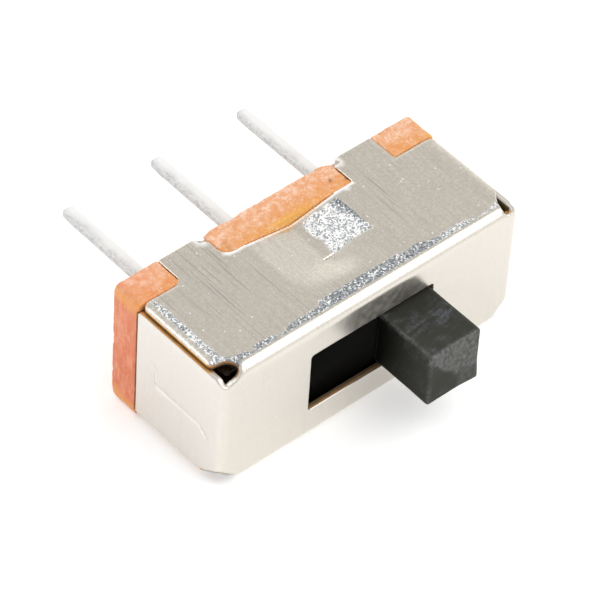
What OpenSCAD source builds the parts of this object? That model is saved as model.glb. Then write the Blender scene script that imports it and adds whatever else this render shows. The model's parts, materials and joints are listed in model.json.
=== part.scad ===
// Miniature three-terminal slide switch in a folded sheet-metal cover.
//
// The lever slides along X. -Y is the lever side, +Y is the terminal side, and
// the switch lies on one of its long sides, with +Z up. The origin is the centre
// of the board's outer face, where the middle terminal comes out.
//
// The cover is one punched blank: a front panel with four walls bent back from
// it. Its tabs hold the terminal board. The slider carries a sprung contact clip
// that bridges the middle terminal and one of its two neighbours.

/* [Cover] */
// Length over the two end flaps
cover_len = 8.5; // [8.3:0.1:12]
// Width over the two long sides
cover_w = 3.45; // [3.2:0.05:5]
// Depth from the front face to the outer face of the board
cover_depth = 3.62; // [3.5:0.02:5]
// Thickness of the sheet
sheet_t = 0.15; // [0.14:0.01:0.24]
// Inner radius of the bends between the front panel and the long sides
side_bend_in = 0.13; // [0.02:0.01:0.2]
// Inner radius of the bends between the front panel and the end flaps
end_bend_in = 0.07; // [0.01:0.01:0.1]
// Rollover radius on the sheared ends of the long sides
shear_roll_r = 0.08; // [0.05:0.01:0.19]
// Distance from the end face back to the ends of the long sides
side_short = 0.09; // [0.02:0.01:0.14]
// Slit between a long side and the edge of the end flap that it covers
flap_slit = 0.02; // [0.01:0.01:0.08]

/* [Relief holes] */
// Radius of the holes punched at the four corners of the front panel
relief_r = 0.45; // [0.3:0.01:0.6]
// Distance of a relief hole's centre inside the end face and the front face
relief_in = 0.12; // [0.05:0.01:0.2]
// Distance of a relief hole's centre outside a long side's face
relief_out = 0.14; // [0.05:0.01:0.3]
// How far the holes in the panel and flaps sit off centre, towards +Z
relief_shift = 0.13; // [0:0.01:0.2]

/* [Tabs] */
// Distance from the middle to the centre of a tab
tab_x = 2.44; // [2.3:0.02:2.8]
// Width of a tab
tab_w = 1.22; // [0.8:0.02:1.4]
// Clearance between a tab and its recess in the board
tab_gap = 0.02; // [0.01:0.01:0.05]
// Length of the corner of a tab that is bent in to hold the board
clinch = 0.2; // [0.1:0.01:0.3]
// Thickness of the bent corner
clinch_t = 0.1; // [0.06:0.01:0.15]
// Depth that the bent corner bites below the tab
clinch_bite = 0.22; // [0.1:0.01:0.3]

/* [Stamped line] */
// Distance from the board's outer face to the near end of the line in an end flap
stamp_near = 1.46; // [1.2:0.02:1.8]
// Distance from the board's outer face to the far end of the line
stamp_far = 2.9; // [2.4:0.02:3.1]
// Height of the line above the middle of the flap
stamp_z = -0.2; // [-0.6:0.02:0.4]
// Height of the leg at the near end of the line
stamp_leg = 0.56; // [0.2:0.02:0.8]
// Length and drop of the tail at the far end of the line
stamp_tail = 0.24; // [0.1:0.02:0.3]
// Width of the line
stamp_w = 0.05; // [0.03:0.01:0.1]
// Depth of the line
stamp_depth = 0.025; // [0.01:0.005:0.05]

/* [Detent springs] */
// Half length of the V-shaped spring pressed into each long side
detent_half = 1.26; // [1:0.02:1.6]
// Depth of the V
detent_depth = 0.2; // [0.1:0.01:0.26]
// Distance from the board's outer face to the sheared line that frees the spring
lance_depth = 2.1; // [1.8:0.02:2.2]
// Width of the sheared line, and of the free gap beside the board
lance_gap = 0.03; // [0.02:0.01:0.06]
// Height of the hump on the slider between its two seats
detent_rise = 0.06; // [0.02:0.01:0.1]
// Clearance between the hump and the spring
detent_gap = 0.03; // [0.02:0.01:0.05]

/* [Lever and slider] */
// Travel of the lever from stop to stop
travel = 2; // [1.5:0.1:2]
// Length of the lever along the travel
lever_len = 1.45; // [1.2:0.05:2]
// Height of the lever across the travel
lever_h = 1.49; // [1:0.01:1.6]
// How far the lever stands out of the front face
lever_out = 1.58; // [1:0.02:6]
// Radius along the edges of the lever
lever_edge_r = 0.06; // [0.02:0.01:0.15]
// Clearance between the lever and the slot's ends, at each stop
stop_gap = 0.025; // [0.02:0.005:0.05]
// Clearance between the lever and the slot's long edges
slot_side_gap = 0.11; // [0.05:0.01:0.2]
// Clearance between the slider and the end flap at each stop
end_gap = 0.12; // [0.05:0.01:0.2]
// Thickness of the slider's front plate
plate_t = 0.55; // [0.4:0.01:0.6]
// Clearance between the slider and the front panel
front_gap = 0.05; // [0.02:0.01:0.1]
// Clearance between the slider and the long sides
side_gap = 0.06; // [0.02:0.01:0.1]
// Clearance between the slider's rails and the board
rail_gap = 0.08; // [0.03:0.01:0.15]

/* [Board] */
// Thickness of the terminal board
board_t = 0.8; // [0.6:0.05:1]
// Radius of the board's four corners
board_corner_r = 0.12; // [0.05:0.01:0.2]

/* [Terminals] */
// Distance between neighbouring terminals
pitch = 2.54; // [2.4:0.02:2.6]
// Thickness of the terminal strip
terminal_t = 0.15; // [0.1:0.01:0.3]
// Width of a terminal's pin
pin_w = 0.34; // [0.25:0.01:0.5]
// Length of a pin beyond the board
pin_len = 3.7; // [2:0.1:6]
// Radius of the corners at a pin's tip
pin_tip_r = 0.09; // [0.02:0.01:0.12]
// Width of a terminal where it passes the board
neck_w = 0.56; // [0.5:0.02:0.7]
// Clearance round a terminal in its slot in the board
neck_gap = 0.01; // [0.01:0.01:0.03]
// Depth below the board's outer face at which the neck narrows to the pin
neck_sink = 0.15; // [0.1:0.01:0.3]
// Width of the contact blade inside
blade_w = 0.9; // [0.7:0.02:1]
// Length of the contact blade from the board
blade_len = 1.5; // [1.2:0.02:1.6]

/* [Contact clip] */
// Thickness of the clip's strip
clip_t = 0.1; // [0.06:0.01:0.12]
// Width of each pair of jaws along the travel
jaw_w = 0.6; // [0.4:0.02:0.7]
// Half height of the clip's back
clip_half_h = 0.5; // [0.4:0.01:0.6]
// Distance from the board's outer face to the line where the jaws pinch
pinch_depth = 1.6; // [1.4:0.02:1.8]
// Distance from the pinch line to the tips of the jaws
jaw_lead = 0.4; // [0.2:0.02:0.5]
// Half opening at the tips of the jaws
jaw_mouth = 0.3; // [0.2:0.01:0.35]
// Clearance between the jaws and a blade
contact_gap = 0.02; // [0.01:0.005:0.04]
// Clearance round the clip in the slider's pocket
pocket_gap = 0.03; // [0.02:0.01:0.06]
// Clearance between the slider and the blades that pass through it
blade_gap = 0.24; // [0.1:0.01:0.3]

/* [Hidden] */
$fn = 64;
cut = 1;

// Faces of the cover
half_len = cover_len / 2;
half_w = cover_w / 2;
wall_in = half_w - sheet_t;
front_in = cover_depth - sheet_t;
end_in = half_len - sheet_t;
side_end = half_len - side_short;
side_bend_r = side_bend_in + sheet_t;
end_bend_r = end_bend_in + sheet_t;
flap_half = wall_in - flap_slit;
panel_half_len = half_len - end_bend_r;
panel_half_w = half_w - side_bend_r;
relief_heights = [relief_shift - half_w - relief_out, relief_shift + half_w + relief_out];
tab_inner = tab_x - tab_w / 2;
tab_outer = tab_x + tab_w / 2;

// Slot and slider
slot_len = lever_len + travel + 2 * stop_gap;
slot_h = lever_h + 2 * slot_side_gap;
lever_rest = travel / 2;
lever_tip = cover_depth + lever_out;
slider_half_len = end_in - end_gap - travel / 2;
slider_half_w = wall_in - side_gap;
slider_front = front_in - front_gap;
slider_back = board_t + rail_gap;
pocket_floor = slider_front - plate_t;
waist_front = lance_depth + detent_gap;
hump_half_w = wall_in - detent_depth - detent_gap;
seat_half_w = hump_half_w - detent_rise;
detent_slope = detent_depth / detent_half;
seat_end = travel / 2 + (slider_half_w - seat_half_w) / detent_slope;

// Contact clip and the way through the slider for the blades
clip_half_len = pitch / 2 + jaw_w / 2;
pinch_half = terminal_t / 2 + contact_gap + clip_t / 2;
blade_tip = board_t + blade_len;
blade_way_half = terminal_t / 2 + blade_gap;

cover_colour = [0.78, 0.76, 0.72];
board_colour = [0.86, 0.51, 0.30];
slider_colour = [0.07, 0.07, 0.08];
clip_colour = [0.80, 0.58, 0.32];
terminal_colour = [0.82, 0.83, 0.82];

// ---- Helpers ---------------------------------------------------------------

// Rectangle centred on the origin, with round corners
module rounded_rect(w, h, r) {
    square([w - 2 * r, h], center = true);
    square([w, h - 2 * r], center = true);
    for (sx = [-1, 1], sy = [-1, 1])
        translate([sx * (w / 2 - r), sy * (h / 2 - r)])
            circle(r);
}

// Extrudes a drawing of the X-Z plane from one depth to another. Depths count
// from the board's outer face towards the front.
module between_depths(near, far) {
    translate([0, -near, 0])
        rotate([90, 0, 0])
            linear_extrude(far - near)
                children();
}

// Extrudes a drawing of the Y-Z plane from x0 to x1
module along_x(x0, x1) {
    translate([x0, 0, 0])
        rotate([90, 0, 90])
            linear_extrude(x1 - x0)
                children();
}

// Draws its children at both signs of X
module both_ends() {
    children();
    mirror([1, 0, 0]) children();
}

// Draws its children at both signs of Z
module both_sides() {
    children();
    mirror([0, 0, 1]) children();
}

// Flat strip of thickness t bent along a path, with round bends
module strip(path, t) {
    for (i = [0 : len(path) - 2]) {
        step = path[i + 1] - path[i];
        translate(path[i])
            rotate(atan2(step.y, step.x))
                translate([0, -t / 2])
                    square([norm(step), t]);
    }
    for (p = path)
        translate(p)
            circle(t / 2);
}

// ---- Cover -----------------------------------------------------------------

// Section of a wall with its bend. The first axis runs along Y, the second
// outwards, and the wall reaches back to the given depth.
module wall_section(outer, bend_r, end_depth) {
    translate([bend_r - cover_depth, outer - bend_r])
        intersection() {
            difference() {
                circle(bend_r);
                circle(bend_r - sheet_t);
            }
            translate([-bend_r, 0])
                square(bend_r);
        }
    translate([bend_r - cover_depth, outer - sheet_t])
        square([cover_depth - bend_r - end_depth, sheet_t]);
}

// Relief holes through the front panel and its bends, at the four corners
module panel_reliefs() {
    for (z = relief_heights)
        both_ends()
            translate([half_len - relief_in, side_bend_r - cover_depth, z])
                rotate([90, 0, 0])
                    cylinder(r = relief_r, h = side_bend_r + cut);
}

// Relief holes through the end flaps, at the four corners
module flap_reliefs() {
    for (z = relief_heights)
        both_ends()
            translate([panel_half_len, relief_in - cover_depth, z])
                rotate([0, 90, 0])
                    cylinder(r = relief_r, h = end_bend_r + cut);
}

// Plan of the part of a relief hole that lies in the flat of a long side
module side_relief() {
    intersection() {
        translate([half_len - relief_in, relief_in - cover_depth])
            circle(relief_r);
        translate([0, side_bend_r - cover_depth])
            square([cover_len, relief_r + relief_in]);
    }
}

// Plan of what is cut from a long side: the middle notch, the corner notches,
// the clinched corners of the tabs, the relief holes, the bend past the front
// panel, and the window of the detent spring
module side_cuts() {
    translate([-tab_inner, -board_t])
        square([2 * tab_inner, board_t + cut]);
    both_ends() {
        translate([tab_outer, -board_t])
            square([cover_len, board_t + cut]);
        translate([tab_inner, 0])
            polygon([[0, -clinch], [clinch, 0], [clinch, cut], [0, cut]]);
        side_relief();
        translate([panel_half_len, -cover_depth - cut])
            square([cover_len, side_bend_r + cut]);
    }
    translate([-detent_half, -lance_depth])
        square([2 * detent_half, lance_depth]);
}

// Plan of a tab's bent corner, at the +X tab, with clearance g round it
module clinch_plan(g) {
    intersection() {
        translate([tab_inner - g, -cover_depth])
            square([tab_w, cover_depth]);
        translate([tab_inner, 0])
            rotate(45)
                translate([-tab_w, -clinch / sqrt(2) - clinch_t - g])
                    square([2 * tab_w, clinch_t + 2 * g]);
    }
}

// V-shaped spring that presses on the slider, cut free along its front
module detent_spring() {
    mid = half_w - sheet_t / 2;
    between_depths(board_t + lance_gap, lance_depth - lance_gap)
        strip([[-detent_half, mid], [0, mid - detent_depth], [detent_half, mid]], sheet_t);
}

// Long side on +Z, with its tabs and its detent spring
module long_side() {
    difference() {
        intersection() {
            along_x(-side_end, side_end)
                wall_section(half_w, side_bend_r, 0);
            between_depths(0, cover_depth)
                rounded_rect(2 * side_end, cover_w, shear_roll_r);
        }
        linear_extrude(cover_w)
            side_cuts();
    }
    both_ends()
        translate([0, 0, wall_in - clinch_bite])
            linear_extrude(clinch_bite + sheet_t)
                clinch_plan(0);
    detent_spring();
}

// Path of the line stamped in an end flap, along Y and Z
function stamp_path() = [
    [-stamp_near + stamp_w, stamp_z + stamp_leg],
    [-stamp_near, stamp_z],
    [-stamp_far, stamp_z],
    [-stamp_far - stamp_tail, stamp_z - stamp_tail]
];

// End flap on -X, with its stamped line. The board lies on its edge.
module end_flap() {
    difference() {
        translate([0, 0, -flap_half])
            rotate([0, 0, 90])
                linear_extrude(2 * flap_half)
                    wall_section(half_len, end_bend_r, board_t);
        along_x(-half_len - cut, stamp_depth - half_len)
            strip(stamp_path(), stamp_w);
    }
}

// Front panel between the bends
module front_panel() {
    difference() {
        between_depths(front_in, cover_depth)
            square([2 * panel_half_len, 2 * panel_half_w], center = true);
        between_depths(front_in - cut, cover_depth + cut)
            square([slot_len, slot_h], center = true);
    }
}

// Folded cover of nickel-plated sheet
module cover() {
    color(cover_colour)
        difference() {
            union() {
                front_panel();
                both_sides() long_side();
                difference() {
                    both_ends() end_flap();
                    flap_reliefs();
                }
            }
            panel_reliefs();
        }
}

// ---- Board -----------------------------------------------------------------

// Outline of the board, with a recess for each tab
module board_outline() {
    difference() {
        rounded_rect(cover_len, cover_w, board_corner_r);
        for (sx = [-1, 1], sz = [-1, 1])
            translate([sx * tab_x, sz * half_w])
                square([tab_w + 2 * tab_gap, 2 * sheet_t], center = true);
    }
}

// Punched board that carries the terminals and closes the cover
module board() {
    color(board_colour)
        difference() {
            between_depths(0, board_t)
                board_outline();
            for (i = [-1 : 1])
                translate([i * pitch, 0, 0])
                    between_depths(-cut, board_t + cut)
                        square([neck_w + 2 * neck_gap, terminal_t + 2 * neck_gap], center = true);
            both_sides()
                both_ends()
                    translate([0, 0, wall_in - clinch_bite - tab_gap])
                        linear_extrude(clinch_bite + sheet_t)
                            clinch_plan(tab_gap);
        }
}

// ---- Slider ----------------------------------------------------------------

// Outline of the slider where the springs press on it: a seat for each stop
// and a low hump between them
module waist_outline() {
    top = [
        [slider_half_len, slider_half_w],
        [seat_end, slider_half_w],
        [travel / 2, seat_half_w],
        [0, hump_half_w],
        [-travel / 2, seat_half_w],
        [-seat_end, slider_half_w],
        [-slider_half_len, slider_half_w]
    ];
    bottom = [for (i = [len(top) - 1 : -1 : 0]) [top[i].x, -top[i].y]];
    polygon(concat(top, bottom));
}

// Lever that passes through the slot, with its edges rounded
module lever() {
    reach = lever_tip - pocket_floor;
    intersection() {
        between_depths(pocket_floor, lever_tip)
            rounded_rect(lever_len, lever_h, lever_edge_r);
        translate([0, -lever_tip + reach, 0])
            linear_extrude(lever_h, center = true)
                rounded_rect(lever_len, 2 * reach, lever_edge_r);
        along_x(-lever_len / 2, lever_len / 2)
            translate([-lever_tip + reach, 0])
                rounded_rect(2 * reach, lever_h, lever_edge_r);
    }
}

// Moulded slider with its lever, a pocket for the clip and a way for the blades
module slider() {
    color(slider_colour)
        translate([lever_rest, 0, 0]) {
            difference() {
                union() {
                    between_depths(waist_front, slider_front)
                        square([2 * slider_half_len, 2 * slider_half_w], center = true);
                    between_depths(slider_back, waist_front)
                        waist_outline();
                }
                between_depths(slider_back - cut, pocket_floor)
                    square([2 * (clip_half_len + pocket_gap), 2 * (clip_half_h + clip_t / 2 + pocket_gap)],
                        center = true);
                between_depths(slider_back - cut, blade_tip + blade_gap)
                    square([2 * slider_half_len + cut, 2 * blade_way_half], center = true);
            }
            lever();
        }
}

// Sprung clip that rides in the slider's pocket: a back, and two pairs of jaws
module moving_contact() {
    back = -pocket_floor + clip_t / 2;
    color(clip_colour)
        translate([lever_rest, 0, 0]) {
            along_x(-clip_half_len, clip_half_len)
                strip([[back, -clip_half_h], [back, clip_half_h]], clip_t);
            both_ends()
                both_sides()
                    along_x(clip_half_len - jaw_w, clip_half_len)
                        strip(
                            [
                                [back, clip_half_h],
                                [-pinch_depth, pinch_half],
                                [-pinch_depth + jaw_lead, jaw_mouth]
                            ],
                            clip_t
                        );
        }
}

// ---- Terminals -------------------------------------------------------------

// Plan of a terminal: contact blade, neck through the board, and pin
module terminal_plan() {
    translate([0, -board_t - blade_len / 2])
        rounded_rect(blade_w, blade_len, pin_tip_r);
    translate([-neck_w / 2, -board_t - pin_tip_r])
        square([neck_w, board_t + pin_tip_r - neck_sink]);
    translate([0, (pin_len - board_t) / 2])
        rounded_rect(pin_w, pin_len + board_t, pin_tip_r);
}

// Stamped terminal, at a number of pitches from the middle
module terminal(i) {
    color(terminal_colour)
        translate([i * pitch, 0, -terminal_t / 2])
            linear_extrude(terminal_t)
                terminal_plan();
}

module terminal_left() {
    terminal(-1);
}

module terminal_middle() {
    terminal(0);
}

module terminal_right() {
    terminal(1);
}

cover();
board();
slider();
moving_contact();
terminal_left();
terminal_middle();
terminal_right();
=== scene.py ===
"""Looks of a miniature slide switch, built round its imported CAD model.

The folded cover, the terminal board, the slider with its lever and the three
terminals are made anew with finer edges and wear. The contact clip keeps its CAD
mesh. Sizes are in millimetres until a mesh is handed to Blender, in metres.
"""

import json
import logging
import math
from collections.abc import Callable, Sequence
from dataclasses import dataclass, field
from enum import Enum, IntEnum

import bmesh
import bpy
import numpy as np
from mathutils import Matrix, Vector
from mathutils.geometry import delaunay_2d_cdt

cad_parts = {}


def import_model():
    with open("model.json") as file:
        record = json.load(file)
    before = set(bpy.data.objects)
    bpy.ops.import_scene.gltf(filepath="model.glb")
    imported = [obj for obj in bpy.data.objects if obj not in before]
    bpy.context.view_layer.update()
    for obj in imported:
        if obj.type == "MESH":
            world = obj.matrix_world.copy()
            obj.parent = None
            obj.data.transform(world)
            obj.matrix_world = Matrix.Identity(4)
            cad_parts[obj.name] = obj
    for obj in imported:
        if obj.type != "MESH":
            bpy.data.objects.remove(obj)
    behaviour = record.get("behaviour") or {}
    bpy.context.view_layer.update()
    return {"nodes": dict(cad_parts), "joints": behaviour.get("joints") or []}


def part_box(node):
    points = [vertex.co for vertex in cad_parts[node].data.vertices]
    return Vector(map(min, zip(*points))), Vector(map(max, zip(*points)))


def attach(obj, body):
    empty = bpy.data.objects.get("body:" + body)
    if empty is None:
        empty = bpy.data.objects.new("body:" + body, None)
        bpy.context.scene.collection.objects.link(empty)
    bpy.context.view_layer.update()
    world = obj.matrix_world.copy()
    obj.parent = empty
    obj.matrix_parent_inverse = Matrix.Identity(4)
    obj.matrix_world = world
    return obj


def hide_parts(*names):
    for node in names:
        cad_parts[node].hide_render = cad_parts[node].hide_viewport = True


MM = 0.001
FLOOR_GAP = 0.006  # millimetres from the floor to the cover's lower face, whose waves need the room
LATTICE_VALUES = 4096
BATCH = 1500  # points that are measured at a time
REPEATED = 0.004  # millimetres within which two points count as one
AXIS_SUM = 1.3  # what the sum of two differences may be, against a length
SIGNS = (-1, 1)
WHITE = (1.0, 1.0, 1.0)

Array = np.ndarray
Colour = tuple[float, float, float]
Face = Sequence[int]

log = logging.getLogger("slide_switch")


class Body(str, Enum):
    """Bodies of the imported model."""

    HOUSING = "housing"
    LEVER = "lever"


class Finish(str, Enum):
    """Material slots of the record."""

    NICKEL = "nickel_sheet"
    LAMINATE = "board_laminate"
    PLASTIC = "black_plastic"
    TIN = "tinned_strip"


class Seed(IntEnum):
    """Seeds of the random patterns, one for each use."""

    SHEET_WAVE = 3
    SHEET_RIPPLE = 4
    TERMINAL_TURN = 5
    STAMP_WEAR = 6
    FROST_EDGE = 7
    BOARD_CHIPS = 11
    BOARD_NICKS = 12
    BOARD_WAVE = 13
    BOARD_FIBRE = 14
    CORNER_CHIP = 15
    STRIP_WAVE = 21
    LEVER_RUB = 31
    LEVER_WAVE = 32
    LEVER_GRAZE = 33


# ---- Noise and plane geometry ------------------------------------------------


def smooth_step(x: Array, low: float, high: float) -> Array:
    """Eases from 0 at low to 1 at high.

    Args:
        x: Values to ease.
        low: Value at which the result is 0.
        high: Value at which the result is 1.

    Returns:
        The eased values.
    """
    t = np.clip((x - low) / (high - low), 0.0, 1.0)
    return t * t * (3.0 - 2.0 * t)


def lattice_noise(points: Array, cell: float, seed: int) -> Array:
    """Smooth noise on a lattice of random values.

    Args:
        points: Places in millimetres, one row each, with 2 or 3 columns.
        cell: Lattice spacing in millimetres.
        seed: Picks the pattern.

    Returns:
        One value from -1 to 1 for each point.
    """
    table = np.random.default_rng(seed).uniform(-1.0, 1.0, LATTICE_VALUES)
    scaled = np.asarray(points, float) / cell + 1000.0
    base = np.floor(scaled).astype(np.int64)
    part = scaled - base
    part = part * part * (3.0 - 2.0 * part)
    primes = np.array([73856093, 19349663, 83492791])[: scaled.shape[1]]
    total = np.zeros(len(scaled))
    for corner in np.ndindex(*(2,) * scaled.shape[1]):
        weight = np.prod(np.where(np.array(corner) == 1, part, 1.0 - part), axis=1)
        total += weight * table[((base + corner) * primes).sum(axis=1) % LATTICE_VALUES]
    return total


def arc(centre: Sequence[float], radius: float, start: float, end: float, steps: int) -> Array:
    """Points along an arc, both ends included.

    Args:
        centre: Centre of the arc.
        radius: Its radius.
        start: First angle in degrees.
        end: Last angle in degrees.
        steps: Number of chords.

    Returns:
        One row for each point.
    """
    turn = np.radians(np.linspace(start, end, steps + 1))
    return np.column_stack([centre[0] + radius * np.cos(turn), centre[1] + radius * np.sin(turn)])


def round_corners(corners: Sequence[tuple[float, float, float]], steps: int = 5) -> Array:
    """Replaces the corners of an outline by arcs.

    Args:
        corners: Each corner's two coordinates and its radius.
        steps: Number of chords for each arc.

    Returns:
        The outline's points, in the same order.
    """
    out: list[Array] = []
    count = len(corners)
    for i, (u, v, radius) in enumerate(corners):
        here = np.array([u, v])
        back = np.array(corners[i - 1][:2]) - here
        ahead = np.array(corners[(i + 1) % count][:2]) - here
        back, ahead = back / np.linalg.norm(back), ahead / np.linalg.norm(ahead)
        half = math.acos(float(np.clip(back @ ahead, -1, 1))) / 2
        reach = radius / math.tan(half)
        centre = here + (back + ahead) / np.linalg.norm(back + ahead) * radius / math.sin(half)
        first, last = here + back * reach - centre, here + ahead * reach - centre
        start, end = (math.degrees(math.atan2(spoke[1], spoke[0])) for spoke in (first, last))
        out.append(arc(centre, radius, start, end - 360.0 * round((end - start) / 360.0), steps))
    return np.vstack(out)


def rectangle(half_u: float, half_v: float, radius: float, steps: int = 5) -> Array:
    """Clockwise outline of a hole with rounded corners, centred on 0.

    Args:
        half_u: Half of its size along the first coordinate.
        half_v: Half of its size along the second coordinate.
        radius: Radius of its corners.
        steps: Number of chords for each corner.

    Returns:
        The outline's points.
    """
    return round_corners([(-half_u, -half_v, radius), (-half_u, half_v, radius),
                          (half_u, half_v, radius), (half_u, -half_v, radius)], steps)


def divided(loop: Array, spacing: float) -> tuple[Array, Array]:
    """Divides the long chords of a closed outline.

    Args:
        loop: Points of the outline.
        spacing: Greatest length of a chord.

    Returns:
        The new outline, and for each of its points the index of the old chord that it lies on.
    """
    points, chords = [], []
    for number, (a, b) in enumerate(zip(loop, np.roll(loop, -1, axis=0))):
        span = float(np.linalg.norm(b - a))
        if span < 1e-4:
            continue
        count = max(1, math.ceil(span / spacing - 1e-6))
        points.append(a + (b - a) * (np.arange(count) / count)[:, None])
        chords += [number] * count
    return np.vstack(points), np.array(chords)


def through(points: Sequence[tuple[float, float]], steps: int = 4) -> Array:
    """Smooth open curve through points.

    Args:
        points: Places that the curve passes.
        steps: Number of chords from each place to the next.

    Returns:
        The curve's points, both ends included.
    """
    known = np.array([points[0], *points, points[-1]], float)
    t = (np.arange(steps) / steps)[:, None]
    out = []
    for a, b, c, d in zip(known, known[1:], known[2:], known[3:]):
        out.append(b + 0.5 * t * (c - a + t * (2 * a - 5 * b + 4 * c - d + t * (3 * (b - c) + d - a))))
    return np.vstack([*out, known[-1:]])


def grid_points(low: Sequence[float], high: Sequence[float], spacing: float) -> Array:
    """Points of a square grid.

    Args:
        low: First point.
        high: Corner that the grid stays below.
        spacing: Distance between neighbours.

    Returns:
        One row for each point.
    """
    columns, rows = (np.arange(a, b, spacing) for a, b in zip(low, high))
    return np.stack(np.meshgrid(columns, rows), -1).reshape(-1, 2)


def batches(count: int) -> list[Array]:
    """Splits the indices of many points into batches, to keep tables of distances small."""
    return np.array_split(np.arange(count), max(1, count // BATCH))


def inside(loops: Sequence[Array], points: Array) -> Array:
    """Tells which points lie in the region between an outline and its holes.

    Args:
        loops: The outline and the holes, as closed loops.
        points: Points to test.

    Returns:
        True for each point in the region.
    """
    odd = np.zeros(len(points), bool)
    x, y = points[:, 0], points[:, 1]
    for loop in loops:
        for (x0, y0), (x1, y1) in zip(loop, np.roll(loop, -1, axis=0)):
            if y0 != y1:
                odd ^= ((y0 > y) != (y1 > y)) & (x < (x1 - x0) * (y - y0) / (y1 - y0) + x0)
    return odd


def edge_distance(loop: Array, points: Array) -> Array:
    """Distance from each point to each chord of a closed loop.

    Args:
        loop: Points of the loop.
        points: Points to measure from.

    Returns:
        A table with a row for each point and a column for each chord.
    """
    start = loop[None]
    step = np.roll(loop, -1, axis=0)[None] - start
    rel = points[:, None] - start
    share = np.clip((rel * step).sum(-1) / np.maximum((step * step).sum(-1), 1e-18), 0, 1)
    return np.linalg.norm(rel - share[..., None] * step, axis=-1)


def inward_normals(loop: Array) -> Array:
    """Directions into the material at each point of an anticlockwise outline.

    Args:
        loop: Points of the outline.

    Returns:
        One row for each point, longer at sharp corners so that an inset keeps its width.
    """
    step = np.roll(loop, -1, axis=0) - loop
    side = np.column_stack([-step[:, 1], step[:, 0]])
    side /= np.maximum(np.linalg.norm(side, axis=1), 1e-12)[:, None]
    both = side + np.roll(side, 1, axis=0)
    both /= np.maximum(np.linalg.norm(both, axis=1), 1e-12)[:, None]
    return both / np.maximum((both * side).sum(1), 0.5)[:, None]


def triangulate(loops: Sequence[Array], loose: Array) -> tuple[Array, Array]:
    """Fills a region with triangles.

    Args:
        loops: The outline and the holes.
        loose: Further points inside the region.

    Returns:
        The points, and the triangles as rows of three indices, anticlockwise.
    """
    points = np.vstack([*loops, loose]) if len(loose) else np.vstack(loops)
    edges: list[tuple[int, int]] = []
    start = 0
    for loop in loops:
        count = len(loop)
        edges += [(start + i, start + (i + 1) % count) for i in range(count)]
        start += count
    made = delaunay_2d_cdt([Vector(p) for p in points], edges, [], 0, 1e-7)
    flat = np.array([v[:] for v in made[0]])
    tris = np.array([f for f in made[2] if len(f) == 3])
    tris = tris[inside(loops, flat[tris].mean(axis=1))]
    a, b, c = flat[tris[:, 0]], flat[tris[:, 1]], flat[tris[:, 2]]
    turned = (b[:, 0] - a[:, 0]) * (c[:, 1] - a[:, 1]) < (b[:, 1] - a[:, 1]) * (c[:, 0] - a[:, 0])
    tris[turned] = tris[turned][:, ::-1]
    return flat, tris


def open_edges(tris: Array) -> Array:
    """Edges that belong to one triangle only.

    Args:
        tris: Triangles, as rows of three indices.

    Returns:
        Two indices for each edge, in its triangle's direction.
    """
    edges = np.vstack([tris[:, [0, 1]], tris[:, [1, 2]], tris[:, [2, 0]]])
    seen = {(int(a), int(b)) for a, b in edges}
    return np.array([(a, b) for a, b in edges if (int(b), int(a)) not in seen])


def thin_out(points: Array, fixed: Array, gap: float) -> Array:
    """Drops grid points that lie too near to others, and repeated points.

    Args:
        points: All points.
        fixed: True for the points that stay.
        gap: Least distance between a grid point and a fixed one.

    Returns:
        The points that are left.
    """
    cells: dict[tuple[int, int], list[Array]] = {}
    kept = []
    for index in np.argsort(~fixed, kind="stable"):
        point = points[index]
        reach = AXIS_SUM * (REPEATED if fixed[index] else gap)
        u, v = int(point[0] // gap), int(point[1] // gap)
        near = [other for i in range(u - 1, u + 2) for j in range(v - 1, v + 2) for other in cells.get((i, j), [])]
        if not any(abs(o[0] - point[0]) + abs(o[1] - point[1]) < reach for o in near):
            cells.setdefault((u, v), []).append(point)
            kept.append(point)
    return np.array(kept)


@dataclass
class Shell:
    """Mesh that is being gathered, in millimetres."""

    points: list[Array] = field(default_factory=list)
    faces: list[tuple[int, ...]] = field(default_factory=list)
    materials: list[int] = field(default_factory=list)
    values: dict[str, list[Array]] = field(default_factory=dict)
    total: int = 0

    def add(self, points: Array, faces: Sequence[Face], material: int = 0, **values: Array) -> int:
        """Adds points and faces.

        Args:
            points: Points, one row each.
            faces: Faces, as indices into these points.
            material: Material index of the faces.
            values: Vertex values by name, one for each point.

        Returns:
            Index of the first added point.
        """
        start = self.total
        self.points.append(np.asarray(points, float))
        self.link([[int(i) + start for i in face] for face in faces], material)
        for name in {*self.values, *values}:
            if name not in self.values:
                self.values[name] = [np.zeros(start)]
            self.values[name].append(np.asarray(values.get(name, np.zeros(len(points))), float))
        self.total += len(points)
        return start

    def link(self, faces: Sequence[Face], material: int) -> None:
        """Adds faces between points that are already there."""
        self.faces += [tuple(int(i) for i in face) for face in faces]
        self.materials += [material] * len(faces)

    def build(self, name: str, materials: Sequence[bpy.types.Material], sharp: float = 40.0) -> bpy.types.Object:
        """Makes the Blender object, at the origin.

        Args:
            name: Name of the object.
            materials: Its materials, in the order of the material indices.
            sharp: Angle in degrees above which an edge stays sharp.

        Returns:
            The object.
        """
        mesh = bpy.data.meshes.new(name)
        mesh.from_pydata((np.vstack(self.points) * MM).tolist(), [], self.faces)
        mesh.polygons.foreach_set("material_index", self.materials)
        for key, parts in self.values.items():
            layer = mesh.attributes.new(key, "FLOAT", "POINT")
            layer.data.foreach_set("value", np.concatenate(parts).astype(np.float32))
        work = bmesh.new()
        work.from_mesh(mesh)
        bmesh.ops.remove_doubles(work, verts=work.verts, dist=1e-7)
        work.to_mesh(mesh)
        work.free()
        for material in materials:
            mesh.materials.append(material)
        mesh.shade_smooth()
        mesh.set_sharp_from_angle(angle=math.radians(sharp))
        mesh.update()
        return placed(name, mesh)


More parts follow.
